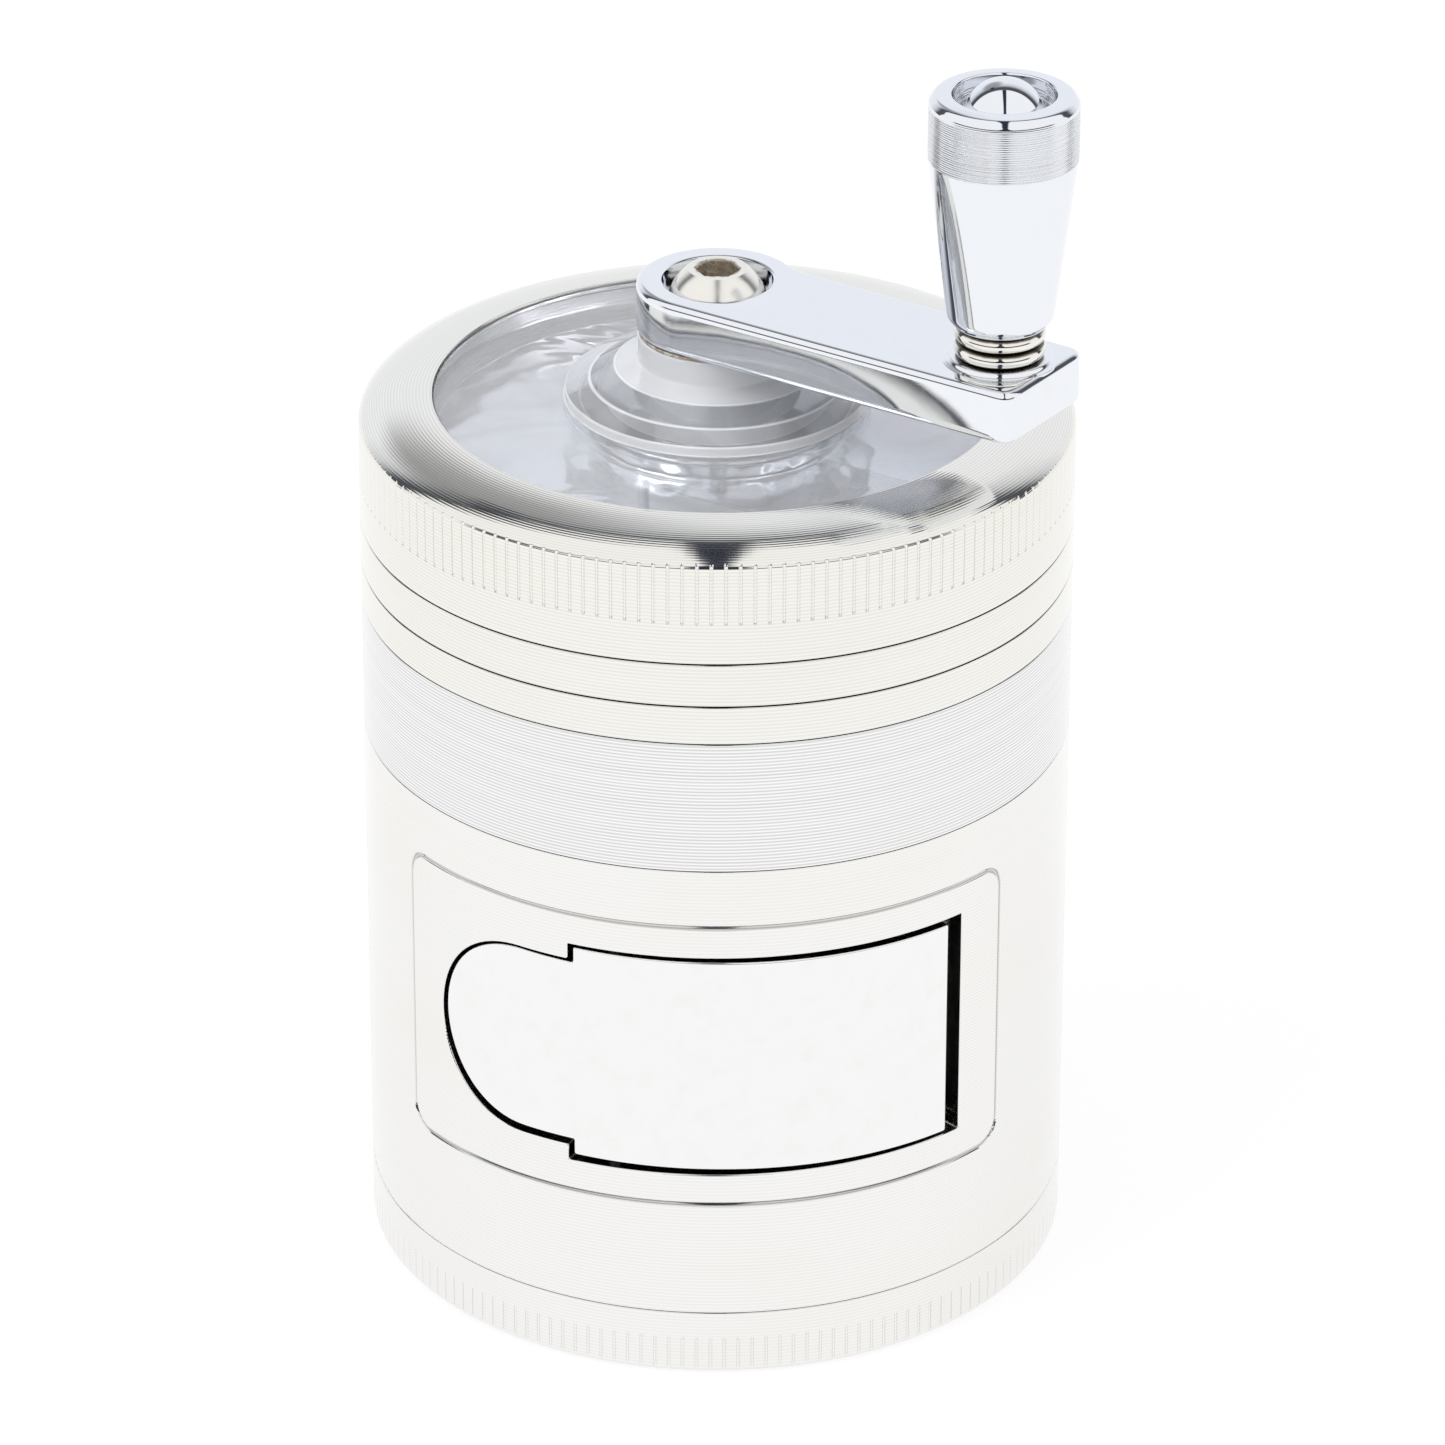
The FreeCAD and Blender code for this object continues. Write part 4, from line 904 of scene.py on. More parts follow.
class GRINDER_OT_housing(bpy.types.Operator):
    """Build the drawer housing: its wall with the drawer's hole and frame line, its rims and deck"""
    bl_idname = "grinder.housing"
    bl_label = "Drawer Housing"

    def execute(self, context):
        sizes, drawer = context.scene.grinder_stack, context.scene.grinder_drawer
        radius, foot, top = sizes.radius, sizes.base_seam, sizes.collector_seam - sizes.thin_gap
        inside = radius - drawer.wall
        socket = radius - sizes.lip + sizes.fit
        edge = 2 * sizes.ease
        seat = top - sizes.spigot
        deck_lap, rim_lap = 0.3 * MM, 1.2 * MM
        hole = drawer_outline(drawer, radius, 0.0, 0.0, SOFT)
        centre = np.array([drawer.hole_fan, (drawer.sill + drawer.lintel) / 2])
        away = hole - centre
        outward = away / np.linalg.norm(away, axis=1)[:, None]
        rays = np.arctan2(away[:, 1], away[:, 0])

        def line(offset):
            """Curve at a distance from the middle of the frame line."""
            margin = drawer.frame_margin + offset
            curve = round_rectangle(drawer.frame_turn * radius + offset, drawer.sill - margin,
                                    drawer.lintel + margin, drawer.frame_corner + offset)
            return along_rays(curve, centre, rays)

        def panel(low_edge, high_edge):
            """Border of the wall's part that holds the hole, with a point in each of its corners."""
            wide = drawer.field * radius
            corners = np.array([(wide, high_edge), (-wide, high_edge), (-wide, low_edge), (wide, low_edge)])
            curve = along_rays(closely(corners, SPACING), centre, rays)
            nearest = np.linalg.norm(curve[:, None] - corners, axis=2).argmin(axis=0)
            curve[nearest] = corners
            return curve

        # Rows from the hole outwards: its brink, plain wall, the frame line's two banks, plain wall
        brink = np.array([(0.0, 0.12), (0.03, 0.05), (0.1, 0.0), (0.16, 0.0)]) * MM
        bank = [(1.5, 0.0), (1.0, 0.0), (0.8, 0.25), (0.5, 0.8)]
        banks = [(-place, depth) for place, depth in bank] + [(0.0, 1.0)] + bank[::-1]
        half = drawer.frame_line / 2
        rows = [(hole + outward * out, radius - depth) for out, depth in brink]
        near, far = rows[-1][0], line(banks[0][0] * half)
        rows += [(near + (far - near) * part, radius) for part in np.linspace(0.1, 0.9, 9)]
        rows += [(line(place * half), radius - depth * drawer.frame_depth) for place, depth in banks]
        near, far = rows[-1][0], panel(foot + edge, top - edge)
        rows += [(near + (far - near) * part, radius) for part in np.linspace(0.1, 1.0, 12)]
        scale = np.array([1.0 / radius, 1.0])
        outer = np.stack([wrapped(curve * scale, reach) for curve, reach in rows])[::-1]
        depths = np.linspace(inside, radius - brink[0, 1], 4)
        reveal = np.stack([wrapped(hole * scale, reach) for reach in depths])
        far = panel(drawer.sill - deck_lap, seat)
        parts = np.linspace(0.0, 1.0, 12)
        inner = np.stack([wrapped((hole + (far - hole) * part) * scale, inside) for part in parts])

        # The wall's other part, the rims and the deck
        rest = np.linspace(drawer.field, TAU - drawer.field, 120) - math.pi / 2
        heights = np.array([foot + edge, (foot + top) / 2, top - edge])
        back = turned(np.stack([np.full(3, radius), heights], axis=1), rest)
        back_inner = turned(np.array([(inside, seat), (inside, drawer.sill - deck_lap)]), rest)
        shelf = drawer.sill - drawer.deck
        shoulder = foot + sizes.spigot + FINE
        chute = low("chute_plate")
        under = rounded([(0.0, shelf, 0.0), (inside, shelf, ROUND), (inside, shoulder, 0.0),
                         (socket, shoulder, 0.0), (socket, foot, FINE), (radius, foot, sizes.ease),
                         (radius, foot + edge, 0.0)], closed=False)
        over = rounded([(radius, top - edge, 0.0), (radius, top, sizes.ease), (socket, top, FINE),
                        (socket, chute, 0.0), (inside, chute, 0.0), (inside, seat - rim_lap, 0.0)],
                       closed=False)
        deck = np.array([(inside, drawer.sill), (0.0, drawer.sill)])
        grids = [outer, reveal, inner, turned(under, SMOOTH), turned(over, SMOOTH), turned(deck, BAND)]
        # The housing's plate carries painted shade in the frame line, the hole's brink and the surfaces
        # inside the wall
        plate = pale_nickel(context.scene, "housing_nickel", radius)
        put("drawer_housing_skin", grids, plate, "nickel", "housing", "drawer_housing",
            sheets=[back, back_inner])
        return {"FINISHED"}


class GRINDER_OT_drawer(bpy.types.Operator):
    """Build the drawer's polished face"""
    bl_idname = "grinder.drawer"
    bl_label = "Drawer Front"

    def execute(self, context):
        sizes, drawer = context.scene.grinder_stack, context.scene.grinder_drawer
        radius = sizes.radius
        face = radius - drawer.recess
        back = radius - drawer.wall - drawer.behind
        outline = drawer_outline(drawer, radius, drawer.gap, drawer.end_gap, SOFT)
        outline[:, 1] -= outline[:, 0] * math.tan(drawer.sag)
        centre = np.array([drawer.face_fan, (drawer.sill + drawer.lintel) / 2])
        away = outline - centre
        outward = away / np.linalg.norm(away, axis=1)[:, None]
        guard = 1.6 * SOFT
        rows = [(centre + away * part, face) for part in np.linspace(0.0, 1.0, 26)[:-1]]
        rows += [(outline - outward * guard, face)]
        rows += [(outline - outward * SOFT * (1 - math.sin(part)), face - SOFT * (1 - math.cos(part)))
                 for part in QUARTER]
        rows += [(outline, reach) for reach in np.linspace(face - guard, back, 3)]
        rows += [(centre + away * part, back) for part in np.linspace(1.0, 0.0, 16)[1:]]
        scale = np.array([1.0 / radius, 1.0])
        grid = np.stack([wrapped(curve * scale, reach) for curve, reach in rows])
        colour = tuple(context.scene.grinder_finishes.polish)
        plate = plated("drawer_plate", colour, roughness=0.10, wave=0.01 * MM)
        put("drawer_front_skin", [grid], plate, "polished_nickel", "drawer", "drawer_front")
        return {"FINISHED"}


def ring_rows(sizes, foot, top, seat, bore):
    """Rows of a ring's outline, from its spigot's bore round to the seat of the ring above."""
    spigot = sizes.radius - sizes.lip
    socket, plug = spigot + sizes.fit, foot - sizes.spigot
    return [(bore, plug, SOFT), (spigot, plug, ROUND), (spigot, foot, 0.0), (sizes.radius, foot, sizes.ease),
            (sizes.radius, top, sizes.ease), (socket, top, FINE), (socket, seat, FINE)]


class GRINDER_OT_rings(bpy.types.Operator):
    """Build the collector and sifter rings"""
    bl_idname = "grinder.rings"
    bl_label = "Collector and Sifter"

    def execute(self, context):
        sizes = context.scene.grinder_stack
        bore = sizes.radius - sizes.lip - sizes.bore_wall
        silver = metal("turned_silver", tuple(context.scene.grinder_finishes.silver), roughness=0.10,
                       line_depth=0.006 * MM, line_shade=0.38, pitch=0.31 * MM)
        seat = sizes.sifter_seam - sizes.spigot - FINE
        rows = ring_rows(sizes, sizes.collector_seam, sizes.sifter_seam - sizes.silver_gap, seat, bore)
        grid = turned(rounded([*rows, (bore, seat, SOFT)]), SMOOTH)
        put("collector_ring_skin", [grid], silver, "turned_silver", "collector", "collector_ring")

        seat = sizes.chamber_seam - sizes.short_spigot - FINE
        shelf = low("sieve_mesh")
        mesh_bore = bore - sizes.mesh_lip
        rows = ring_rows(sizes, sizes.sifter_seam, sizes.chamber_seam - sizes.wide_gap, seat, mesh_bore)
        rows += [(bore, seat, SOFT), (bore, shelf, 0.0), (mesh_bore, shelf, FINE)]
        grid = turned(rounded(rows), SMOOTH)
        put("sifter_ring_skin", [grid], nickel(context.scene), "nickel", "sifter", "sifter_ring")
        return {"FINISHED"}


class GRINDER_OT_chamber(bpy.types.Operator):
    """Build the grinding chamber with its drop holes"""
    bl_idname = "grinder.chamber"
    bl_label = "Grinding Chamber"

    def execute(self, context):
        sizes, chamber = context.scene.grinder_stack, context.scene.grinder_chamber
        radius, foot, top = sizes.radius, sizes.chamber_seam, sizes.lid_foot - sizes.wide_gap
        spigot = radius - sizes.lip
        bore, inside = spigot - sizes.bore_wall, spigot - chamber.wall
        plug, crest = foot - sizes.short_spigot, high("grinding_chamber")
        magnet, seat, floor = radius_of("chamber_magnet"), low("chamber_magnet"), high("chamber_magnet")
        core, edge = chamber.core, chamber.field
        between = (chamber.inner_ring + chamber.outer_ring) / 2
        wall = rounded([(edge, foot, 0.0), (bore, foot, 0.0), (bore, plug, SOFT), (spigot, plug, ROUND),
                        (spigot, foot, 0.0), (radius, foot, sizes.ease), (radius, top, sizes.ease),
                        (spigot, top, 0.0), (spigot, crest, ROUND), (inside, crest, ROUND),
                        (inside, floor, chamber.fillet), (edge, floor, 0.0)], closed=False)
        centre = np.array([(core, floor), (magnet, floor), (magnet, seat), (0.0, seat)])
        under = np.array([(0.0, foot), (core, foot)])
        grids = [turned(wall, SMOOTH), turned(centre, BAND), turned(under, BAND)]
        grids += holed(core, between, chamber.inner_ring, chamber.hole, chamber.inner_holes, 0.0, foot, floor)
        grids += holed(between, edge, chamber.outer_ring, chamber.hole, chamber.outer_holes, 0.0, foot, floor)
        put("grinding_chamber_skin", grids, nickel(context.scene), "nickel", "chamber", "grinding_chamber")
        return {"FINISHED"}


class GRINDER_OT_lid(bpy.types.Operator):
    """Build the knurled lid ring, its clear window and the bush in the window"""
    bl_idname = "grinder.lid"
    bl_label = "Lid"

    def execute(self, context):
        sizes, lid = context.scene.grinder_stack, context.scene.grinder_lid
        colours = context.scene.grinder_finishes
        radius, foot, shoulder, crest = sizes.radius, sizes.lid_foot, sizes.lid_shoulder, sizes.lid_crest
        pane, slip_top, hub_top = low("lid_window"), high("slip_ring"), high("lid_window")
        ledge, room = crest - lid.ledge_depth, pane - lid.retainer
        window = radius - lid.crown
        bore = window + lid.ledge
        skirt = radius - sizes.lip + sizes.fit
        slip = skirt + lid.slip_room
        wall = knurl_rows(radius, sizes.groove, sizes.lid_knurl_low, shoulder)
        edge, rim = radius - lid.bevel_run, shoulder + lid.bevel_rise
        peak = (radius, rim - lid.bevel_run * math.tan(lid.bevel_slope))
        bevel = bow((radius, shoulder), peak, (edge, rim), pieces=16)
        middle = (edge + window) / 2
        peak = (middle, rim + (edge - middle) * math.tan(lid.crown_slope))
        crown = bow((edge, rim), peak, (window, crest), pieces=12)
        outline = rounded([(slip, foot, 0.0), (radius, foot, sizes.ease), *plain(wall), *plain(bevel),
                           *plain(crown[:-1]), (window, crest, lid.rim_ease), (window, ledge, FINE),
                           (bore, ledge, 0.0), (bore, room, 0.0), (skirt, room, FINE), (skirt, slip_top, 0.0),
                           (slip, slip_top, 0.0)])
        angles, dent = knurl(radius, sizes.groove, sizes.grooves, sizes.lid_knurl_low, rim)
        grid = turned(outline, angles, dent=dent)
        put("lid_ring_skin", [grid], nickel(context.scene), "nickel", "lid", "lid_ring")

        face = crest - lid.sunk
        bush = radius_of("shaft_bush") - lid.bush_flange
        bored = bush - lid.bite
        edge, flange = window - lid.pane_gap, window + lid.flange
        outline = rounded([(bored, pane, 0.0), (flange, pane, FINE), (flange, ledge, FINE),
                           (edge, ledge, CRISP), (edge, face, lid.rim_ease), (lid.foot_radius, face, NEAT),
                           (lid.foot_radius, face + lid.foot_rise, NEAT),
                           (lid.step_radius, face + lid.step_rise, NEAT),
                           (lid.cone_radius, face + lid.cone_rise, SOFT),
                           (lid.neck_radius, face + lid.neck_rise, SOFT), (lid.neck_radius, hub_top, NEAT),
                           (bored, hub_top, 0.0)])
        steps = (lid.cone_radius, lid.step_radius, lid.foot_radius)
        acrylic = clear_acrylic("clear_acrylic", tuple(colours.acrylic), steps)
        put("lid_window_skin", [turned(outline, SMOOTH)], acrylic, "clear", "lid", "lid_window")

        flange, shaft = radius_of("shaft_bush"), radius_of("drive_shaft") + lid.shaft_fit
        foot, over, under = low("shaft_bush"), pane + lid.bite, hub_top - lid.bite
        outline = eased([(shaft, foot), (flange, foot), (flange, over), (bush, over), (bush, under),
                         (shaft, under)], FINE)
        plate = plated("bush_plate", tuple(colours.rotor), roughness=0.5, wave=0.01 * MM)
        put("shaft_bush_skin", [turned(outline, BAND)], plate, "bush", "lid", "shaft_bush")
        return {"FINISHED"}


class GRINDER_OT_rotor(bpy.types.Operator):
    """Build the rotor disc that shows through the window"""
    bl_idname = "grinder.rotor"
    bl_label = "Rotor"

    def execute(self, context):
        lid = context.scene.grinder_lid
        magnet, edge = radius_of("rotor_magnet"), radius_of("rotor_disc")
        seat, shaft = high("rotor_magnet"), low("drive_shaft")
        foot, crest = low("rotor_disc"), high("rotor_disc")
        top = crest - lid.rotor_drop
        under = top - lid.rotor_plate
        boss, core, bore = lid.rotor_boss, magnet + lid.rotor_wall, lid.rotor_bore
        outline = rounded([(0.0, seat, 0.0), (magnet, seat, 0.0), (magnet, foot, FINE), (core, foot, FINE),
                           (core, under, SOFT), (edge, under, ROUND), (edge, top, ROUND), (boss, top, FULL),
                           (boss, crest, FULL), (bore, crest, FINE), (bore, shaft, 0.0), (0.0, shaft, 0.0)],
                          closed=False)
        plate = swirled_plate("rotor_plate", tuple(context.scene.grinder_finishes.rotor))
        put("rotor_disc_skin", [turned(outline, SMOOTH)], plate, "rotor", "crank", "rotor_disc")
        return {"FINISHED"}


def arm_outline(crank):
    """Outline of the crank arm, along x from its hub, anticlockwise from its far front corner."""
    pole = np.array([math.sqrt((crank.hub + crank.blend) ** 2 - (crank.back_width + crank.blend) ** 2),
                     crank.back_width + crank.blend])
    leave = math.atan2(pole[1], pole[0])
    corner = (crank.reach, -crank.front_width)
    touch = TAU + math.atan2(corner[1], corner[0]) - math.acos(crank.hub / math.hypot(*corner))
    hollow = np.linspace(1.5 * math.pi, math.pi + leave, 20)
    hub = np.linspace(leave, touch, 90)
    arc = np.stack([np.cos(hub), np.sin(hub)], axis=1) * crank.hub
    dip = pole + np.stack([np.cos(hollow), np.sin(hollow)], axis=1) * crank.blend
    corners = [corner, (crank.reach, crank.back_width), *dip, *arc[1:]]
    amounts = np.zeros(len(corners))
    amounts[:2] = crank.corner
    return closely(eased(corners, amounts, steps=9)[:-1], SPACING)


class GRINDER_OT_crank(bpy.types.Operator):
    """Build the crank arm, its screw and the washer under it"""
    bl_idname = "grinder.crank"
    bl_label = "Crank"

    def execute(self, context):
        crank, colours = context.scene.grinder_crank, context.scene.grinder_finishes
        foot, top = crank.foot, crank.foot + crank.thickness
        seat = top - crank.seat
        edge = crank.edge
        guard = 1.4 * edge
        outline = arm_outline(crank)
        tangent = np.roll(outline, -1, axis=0) - np.roll(outline, 1, axis=0)
        tangent = tangent / np.linalg.norm(tangent, axis=1)[:, None]
        inward = np.stack([-tangent[:, 1], tangent[:, 0]], axis=1)
        facing = np.arctan2(outline[:, 1], outline[:, 0])
        ring = np.stack([np.cos(facing), np.sin(facing)], axis=1)

        # Rows from the underside's hole round the edge to the screw's seat
        hole, flat, rim = ring * crank.shank, outline + inward * guard, ring * crank.counterbore
        lip = np.array([(0.3, 0.0), (0.15, 0.03), (0.04, 0.1), (0.0, 0.25)]) * MM
        rows = [(hole, foot)]
        rows += [(hole + (flat - hole) * part, foot) for part in np.linspace(0.2, 1.0, 5)]
        rows += [(outline + inward * edge * (1 - math.sin(part)), foot + edge * (1 - math.cos(part)))
                 for part in QUARTER]
        rows += [(outline, foot + guard), (outline, top - guard)]
        rows += [(outline + inward * edge * (1 - math.cos(part)), top - edge * (1 - math.sin(part)))
                 for part in QUARTER]
        brim = rim + ring * lip[0, 0]
        rows += [(flat + (brim - flat) * part, top) for part in np.linspace(0.0, 1.0, 7)]
        rows += [(rim + ring * out, top - depth) for out, depth in lip[1:]]
        rows += [(rim, seat), (hole, seat), (hole, foot)]
        spin = np.array([[math.cos(crank.angle), -math.sin(crank.angle)],
                         [math.sin(crank.angle), math.cos(crank.angle)]])
        plan = np.stack([curve @ spin.T for curve, height in rows])
        tall = np.array([height for curve, height in rows])[:, None, None]
        arm = np.concatenate([plan, np.broadcast_to(tall, (*plan.shape[:2], 1))], axis=2)
        crest = top + crank.boss_rise
        boss = rounded([(0.0, top - SOFT, 0.0), (crank.boss_foot, top - SOFT, 0.0),
                        (crank.boss_foot, top, SOFT), (crank.boss_waist, top + FINE, SOFT),
                        (crank.boss_top, crest, crank.boss_ease), (0.0, crest, 0.0)], closed=False)
        grids = [arm, turned(boss, BAND, middle_of("knob"))]
        put("crank_arm_skin", grids, chrome(context.scene), "chrome", "crank", "crank_arm")

        # The screw, from the floor of its hex socket over its dome
        around = even(144)
        circle = np.ones(len(around))
        hexagon = crank.socket / np.cos((around % (math.pi / 3)) - math.pi / 6)
        head = high("crank_screw")
        floor = head - crank.socket_depth
        centre = seat - crank.dome_drop
        slope = np.linspace(math.acos((head - centre) / crank.dome), math.asin(crank.head / crank.dome), 12)
        mouth = [(1.0, 0.2 * MM), (1.02, 0.08 * MM), (1.06, 0.02 * MM)]
        rows = [(circle * 0.0, floor), (hexagon * 0.95, floor), (hexagon, floor + 0.06 * MM)]
        rows += [(hexagon * wide, head - depth) for wide, depth in mouth]
        rows += [(circle * crank.dome * math.sin(part), centre + crank.dome * math.cos(part))
                 for part in slope]
        rows += [(circle * crank.head, seat + SOFT), (circle * crank.head, seat), (circle * 0.0, seat)]
        reach = np.stack([row for row, height in rows])[::-1]
        tall = np.array([height for row, height in rows])[::-1]
        grid = np.stack([reach * np.cos(around), reach * np.sin(around),
                         np.broadcast_to(tall[:, None], reach.shape)], axis=-1)
        screw, grime_and_joint_shade = tuple(colours.screw), tuple(colours.grime_and_joint_shade)
        plate = spotted_plate("screw_plate", screw, grime_and_joint_shade, least=-NEAT, most=crank.stain)
        put("crank_screw_skin", [grid], plate, "polished_nickel", "crank", "crank_screw")

        foot, top = low("thrust_washer"), high("thrust_washer")
        bore, wide = crank.washer_bore, radius_of("thrust_washer")
        outline = eased([(bore, foot), (wide, foot), (wide, top), (bore, top)], crank.washer_ease)
        worn = spotted_plate("washer_plate", screw, grime_and_joint_shade, least=wide - ROUND, most=wide + FULL)
        put("thrust_washer_skin", [turned(outline, BAND)], worn, "polished_nickel", "crank", "thrust_washer")
        return {"FINISHED"}


class GRINDER_OT_knob(bpy.types.Operator):
    """Build the knob, the domed pin it spins on and the two rings under it"""
    bl_idname = "grinder.knob"
    bl_label = "Knob"

    def execute(self, context):
        knob, colours = context.scene.grinder_knob, context.scene.grinder_finishes
        centre = middle_of("knob")
        foot, top, bore = low("knob"), high("knob"), knob.bore
        band_low, band_high, recess = foot + knob.band_low, foot + knob.band_high, top - knob.cup_depth
        outline = rounded([(bore, foot, FINE), (knob.foot, foot, MILD),
                           (knob.waist, foot + knob.waist_rise, ROUND), (knob.band, band_low, NEAT),
                           (knob.band, band_high, FULL), (knob.crown, top - knob.crown_drop, ROUND),
                           (knob.rim_outside, top, ROUND), (knob.rim_inside, top, MILD),
                           (knob.cup, recess, ROUND), (bore, recess, 0.0)], steps=7)
        plate = banded_chrome("knob_chrome", tuple(colours.chrome), band_low - FINE, band_high - FINE,
                              pitch=0.2 * MM)
        put("knob_skin", [turned(outline, SMOOTH, centre)], plate, "chrome", "knob", "knob")

        low_ring, high_ring = low("knob_rings"), high("knob_rings")
        middle = (low_ring + high_ring) / 2
        bulge = knob.ring_bulge
        swing = np.linspace(-math.pi / 2, math.pi / 2, 15)
        grids = []
        for under, over in ((low_ring, middle), (middle, high_ring)):
            half = (over - under) / 2
            outside = zip(knob.ring - bulge + bulge * np.cos(swing), under + half + half * np.sin(swing))
            profile = np.array([(bore, under), *outside, (bore, over), (bore, under)])
            grids.append(turned(profile, BAND, centre))
        # The rings' colour is darkened where they meet, as painted shade
        plate = joint_shaded_plate("ring_plate", tuple(colours.screw), tuple(colours.grime_and_joint_shade), low_ring,
                             pitch=middle - low_ring)
        put("knob_rings_skin", grids, plate, "polished_nickel", "crank", "knob_rings")

        pin_foot, head, apex = low("knob_pin"), recess + knob.pin_gap, high("knob_pin")
        ball = knob.pin_dome
        slope = np.linspace(math.acos((head - apex + ball) / ball), 0.0, 16)
        dome = [(ball * math.sin(part), apex - ball + ball * math.cos(part)) for part in slope]
        outline = np.array([(0.0, pin_foot), (knob.pin, pin_foot), (knob.pin, head), *dome])
        grid = turned(outline, BAND, centre)
        put("knob_pin_skin", [grid], chrome(context.scene), "chrome", "crank", "knob_pin")
        return {"FINISHED"}


class GRINDER_OT_inner(bpy.types.Operator):
    """Finish the CAD pieces that stay as they are"""
    bl_idname = "grinder.inner"
    bl_label = "Inner Pieces"

    def execute(self, context):
        scene = context.scene
        colours = scene.grinder_finishes
        wire = woven_wire("woven_wire", tuple(colours.steel), pitch=0.5 * MM)
        nylon = moulded("black_nylon", tuple(colours.nylon), roughness=0.4)
        magnet = plated("magnet_plate", tuple(colours.steel), roughness=0.15, wave=0.01 * MM)
        oxide = plated("black_oxide", tuple(colours.nylon), roughness=0.35, wave=0.01 * MM)
        finishes = {"drawer_tray": pale_nickel(scene), "sieve_mesh": wire, "slip_ring": nylon,
                    "catch_magnet": magnet, "drawer_magnet": magnet, "chamber_magnet": magnet,
                    "rotor_magnet": magnet, "drawer_pivot_pin": oxide}
        for name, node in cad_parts.items():
            if not node.hide_render:
                paint_node(name, finishes.get(name, steel(scene)))
        return {"FINISHED"}


# Studio

class GRINDER_OT_studio(bpy.types.Operator):
    """Set up the pale floor, the soft white tent, the lamps and the camera"""
    bl_idname = "grinder.studio"
    bl_label = "Studio"

    def execute(self, context):
        scene = context.scene
        studio = scene.grinder_studio
        scene.view_settings.view_transform = "Standard"
        pale_floor(studio)
        white_tent(scene, studio)
        lamp("key_lamp", place=(-0.55, -0.35, 0.75), size=0.6, power=4.0)
        lamp("fill_lamp", place=(0.6, -0.25, 0.55), size=0.5, power=2.0)
        camera(scene, studio)
        return {"FINISHED"}


def seen_ray(shader):
    """One for rays from the camera, a mirror or clear plastic, and nothing for others."""
    seen = [shader.node("ShaderNodeLightPath", output=name)
            for name in ("Is Camera Ray", "Is Glossy Ray", "Is Transmission Ray")]
    return seen[0].most(seen[1]).most(seen[2])


def pale_floor(studio):
    """A wide floor, lifted towards white where it is seen, which keeps a soft shadow."""
    ring = np.array([(0.0, -studio.floor_drop), (studio.floor_radius, -studio.floor_drop)])
    mesh = fill("studio_floor", [turned(ring, BAND)[::-1]])
    floor = bpy.data.objects.new("studio_floor", mesh)
    bpy.context.scene.collection.objects.link(floor)
    material = bpy.data.materials.new("studio_floor")
    material.use_nodes = True
    shader = Shader(material.node_tree)
    dull = shader.node("ShaderNodeBsdfDiffuse", {}, {"Color": (*studio.floor, 1.0)})
    white = shader.node("ShaderNodeEmission", {}, {"Color": (1.0, 1.0, 1.0, 1.0), "Strength": 1.0})
    mixed = shader.node("ShaderNodeMixShader", {}, {0: seen_ray(shader) * studio.lift, 1: dull, 2: white})
    shader.node("ShaderNodeOutputMaterial", {}, {"Surface": mixed})
    mesh.materials.append(material)


def white_tent(scene, studio):
    """A tent that is plain white to the eye and to dull surfaces, and that metal sees in parts.

    In front is a bright panel with a dark rim, a dark slit and a dark line at its foot; behind is a pale wall
    with a grey part and a dark stand on its left.
    """
    world = bpy.data.worlds.new("white_tent")
    world.use_nodes = True
    scene.world = world
    shader = Shader(world.node_tree)
    way = shader.node("ShaderNodeTexCoord", output="Generated")
    white, back, edge = (1.0, 1.0, 1.0), np.array(studio.back), np.array(studio.edge)
    front = shader.dot(way, (0.0, -0.5, 0.0)) + 0.5
    fall = [(0.0, 0.0), (0.12, 0.0), (0.19, 0.25), (0.225, 0.55), (0.25, 0.85), (0.27, 1.0), (0.335, 1.0)]
    stops = [(place, tuple(back * (1 - depth) + edge * depth)) for place, depth in fall]
    tent = shader.ramp(front, [*stops, (0.35, white)])
    grey_way, stand_way = (-0.33, 0.68, 0.655), (-0.371, 0.501, 0.782)
    grey = shader.fit(shader.dot(way, grey_way), 0.945, 0.995, 0.0, 0.75)
    tent = shader.blend(grey, tent, shaded(studio.shade, 1.0))
    side = shader.dot(way, (math.cos(studio.camera_turn), math.sin(studio.camera_turn), 0.0))
    tall = shader.dot(way, (0.0, 0.0, 1.0))
    wide = (1.0 - tall) ** 4.0 * 0.5 + tall * 0.035 + 0.035
    ahead = shader.fit(front, 0.33, 0.35, 0.0, 1.0)
    slit = shader.fit((side * side) ** 0.5 - wide, -0.02, 0.015, 1.0, 0.0) * ahead
    stand = shader.fit(shader.dot(way, stand_way), 0.9975, 0.9987, 0.0, 1.0)
    strip = shader.fit(tall, 0.2, 0.28, 1.0, 0.0) * shader.fit(front, 0.55, 0.65, 0.0, 0.9)
    tent = shader.blend(slit.most(stand).most(strip), tent, shaded(studio.dark, 1.0))
    glossy = shader.node("ShaderNodeLightPath", output="Is Glossy Ray")
    clear = shader.node("ShaderNodeLightPath", output="Is Transmission Ray")
    colour = shader.blend(glossy.most(clear), shaded(white, 1.0), tent)
    strength = seen_ray(shader) * (1.0 - studio.ambient) + studio.ambient
    background = shader.node("ShaderNodeBackground", {}, {"Color": colour, "Strength": strength})
    shader.node("ShaderNodeOutputWorld", {}, {"Surface": background})


def lamp(name, place, size, power):
    """A square soft lamp that faces the middle of the grinder."""
    light = bpy.data.lights.new(name, "AREA")
    light.shape = "SQUARE"
    light.size = size
    light.energy = power
    thing = bpy.data.objects.new(name, light)
    bpy.context.scene.collection.objects.link(thing)
    aim = np.array([0.0, 0.0, 60 * MM]) - np.array(place)
    flat = math.hypot(aim[0], aim[1])
    thing.visible_glossy = False
    thing.location = place
    thing.rotation_euler = (math.atan2(flat, -aim[2]), 0.0, math.atan2(-aim[0], aim[1]))


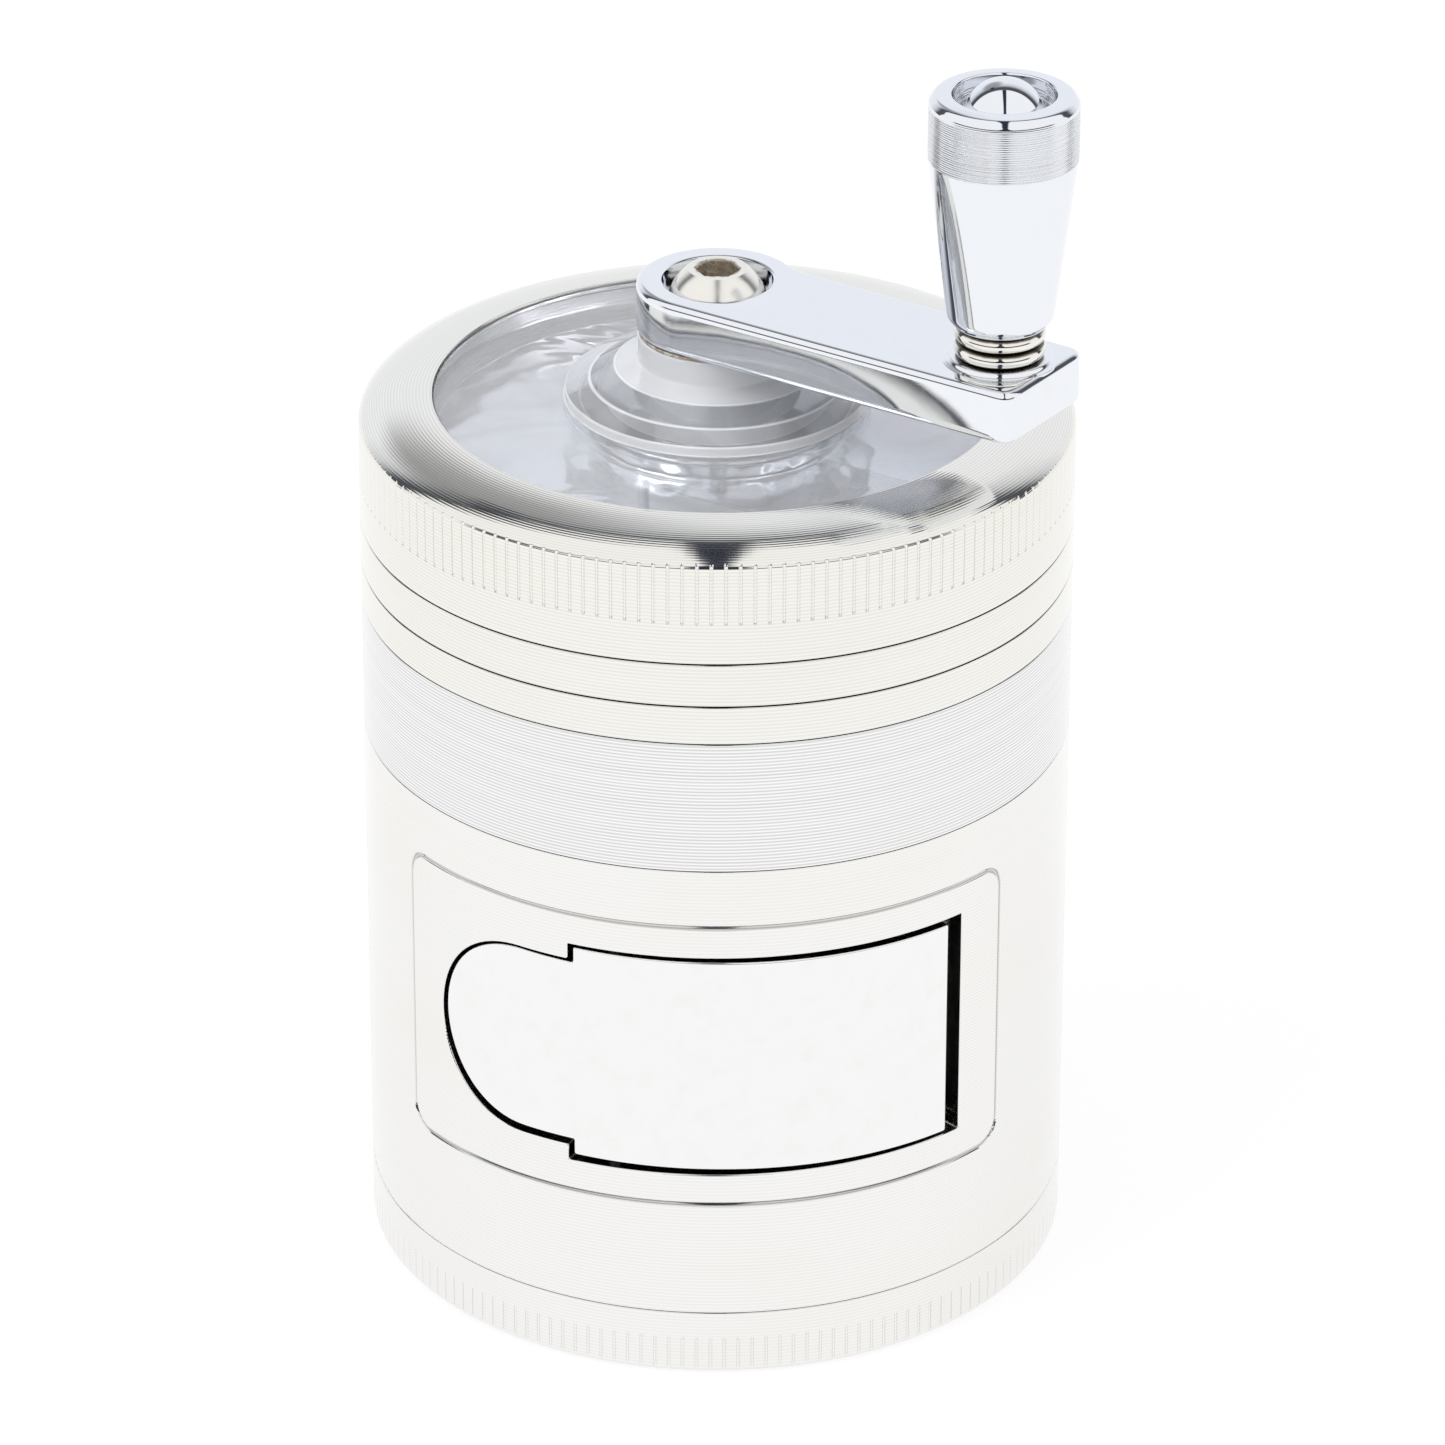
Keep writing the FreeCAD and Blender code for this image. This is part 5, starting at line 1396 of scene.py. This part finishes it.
def camera(scene, studio):
    """A long lens at the photograph's place and angle."""
    lens = bpy.data.cameras.new("studio_camera")
    lens.sensor_width = 36.0
    lens.sensor_fit = "HORIZONTAL"
    lens.lens = studio.focal / PHOTO_WIDTH * lens.sensor_width
    lens.clip_start = 10 * MM
    thing = bpy.data.objects.new("studio_camera", lens)
    scene.collection.objects.link(thing)
    thing.location = (studio.camera_distance * math.sin(studio.camera_turn),
                      -studio.camera_distance * math.cos(studio.camera_turn), studio.camera_height)
    heading = studio.camera_turn - studio.camera_aim
    tilt = math.pi / 2 - studio.camera_dip
    thing.rotation_mode = "QUATERNION"
    aim = Euler((tilt, 0.0, heading), "XYZ").to_quaternion()
    lean = Euler((0.0, 0.0, studio.camera_roll), "XYZ").to_quaternion()
    thing.rotation_quaternion = aim @ lean
    scene.camera = thing


# Add-on

class GRINDER_PT_panel(bpy.types.Panel):
    """Lists the grinder's pieces"""
    bl_label = "Crank Grinder"
    bl_space_type = "VIEW_3D"
    bl_region_type = "UI"
    bl_category = "Grinder"

    def draw(self, context):
        for operator in OPERATORS:
            self.layout.operator(operator.bl_idname)
        for group in GROUPS:
            settings = getattr(context.scene, group)
            for name in settings.__annotations__:
                self.layout.prop(settings, name)


GROUPS = {
    "grinder_stack": StackSizes,
    "grinder_drawer": DrawerSizes,
    "grinder_chamber": ChamberSizes,
    "grinder_lid": LidSizes,
    "grinder_crank": CrankSizes,
    "grinder_knob": KnobSizes,
    "grinder_finishes": Finishes,
    "grinder_studio": StudioSettings,
}
OPERATORS = (GRINDER_OT_base, GRINDER_OT_housing, GRINDER_OT_drawer, GRINDER_OT_rings, GRINDER_OT_chamber,
             GRINDER_OT_lid, GRINDER_OT_rotor, GRINDER_OT_crank, GRINDER_OT_knob, GRINDER_OT_inner,
             GRINDER_OT_studio)


def register():
    """Adds the settings, operators and panel."""
    for name, group in GROUPS.items():
        bpy.utils.register_class(group)
        setattr(bpy.types.Scene, name, bpy.props.PointerProperty(type=group))
    for operator in OPERATORS:
        bpy.utils.register_class(operator)
    bpy.utils.register_class(GRINDER_PT_panel)


def unregister():
    """Takes them out again."""
    bpy.utils.unregister_class(GRINDER_PT_panel)
    for operator in OPERATORS:
        bpy.utils.unregister_class(operator)
    for name, group in GROUPS.items():
        delattr(bpy.types.Scene, name)
        bpy.utils.unregister_class(group)


def main():
    """Builds every piece in order."""
    register()
    bpy.ops.grinder.base()
    bpy.ops.grinder.housing()
    bpy.ops.grinder.drawer()
    bpy.ops.grinder.rings()
    bpy.ops.grinder.chamber()
    bpy.ops.grinder.lid()
    bpy.ops.grinder.rotor()
    bpy.ops.grinder.crank()
    bpy.ops.grinder.knob()
    bpy.ops.grinder.inner()
    bpy.ops.grinder.studio()


if __name__ == "__main__":
    main()
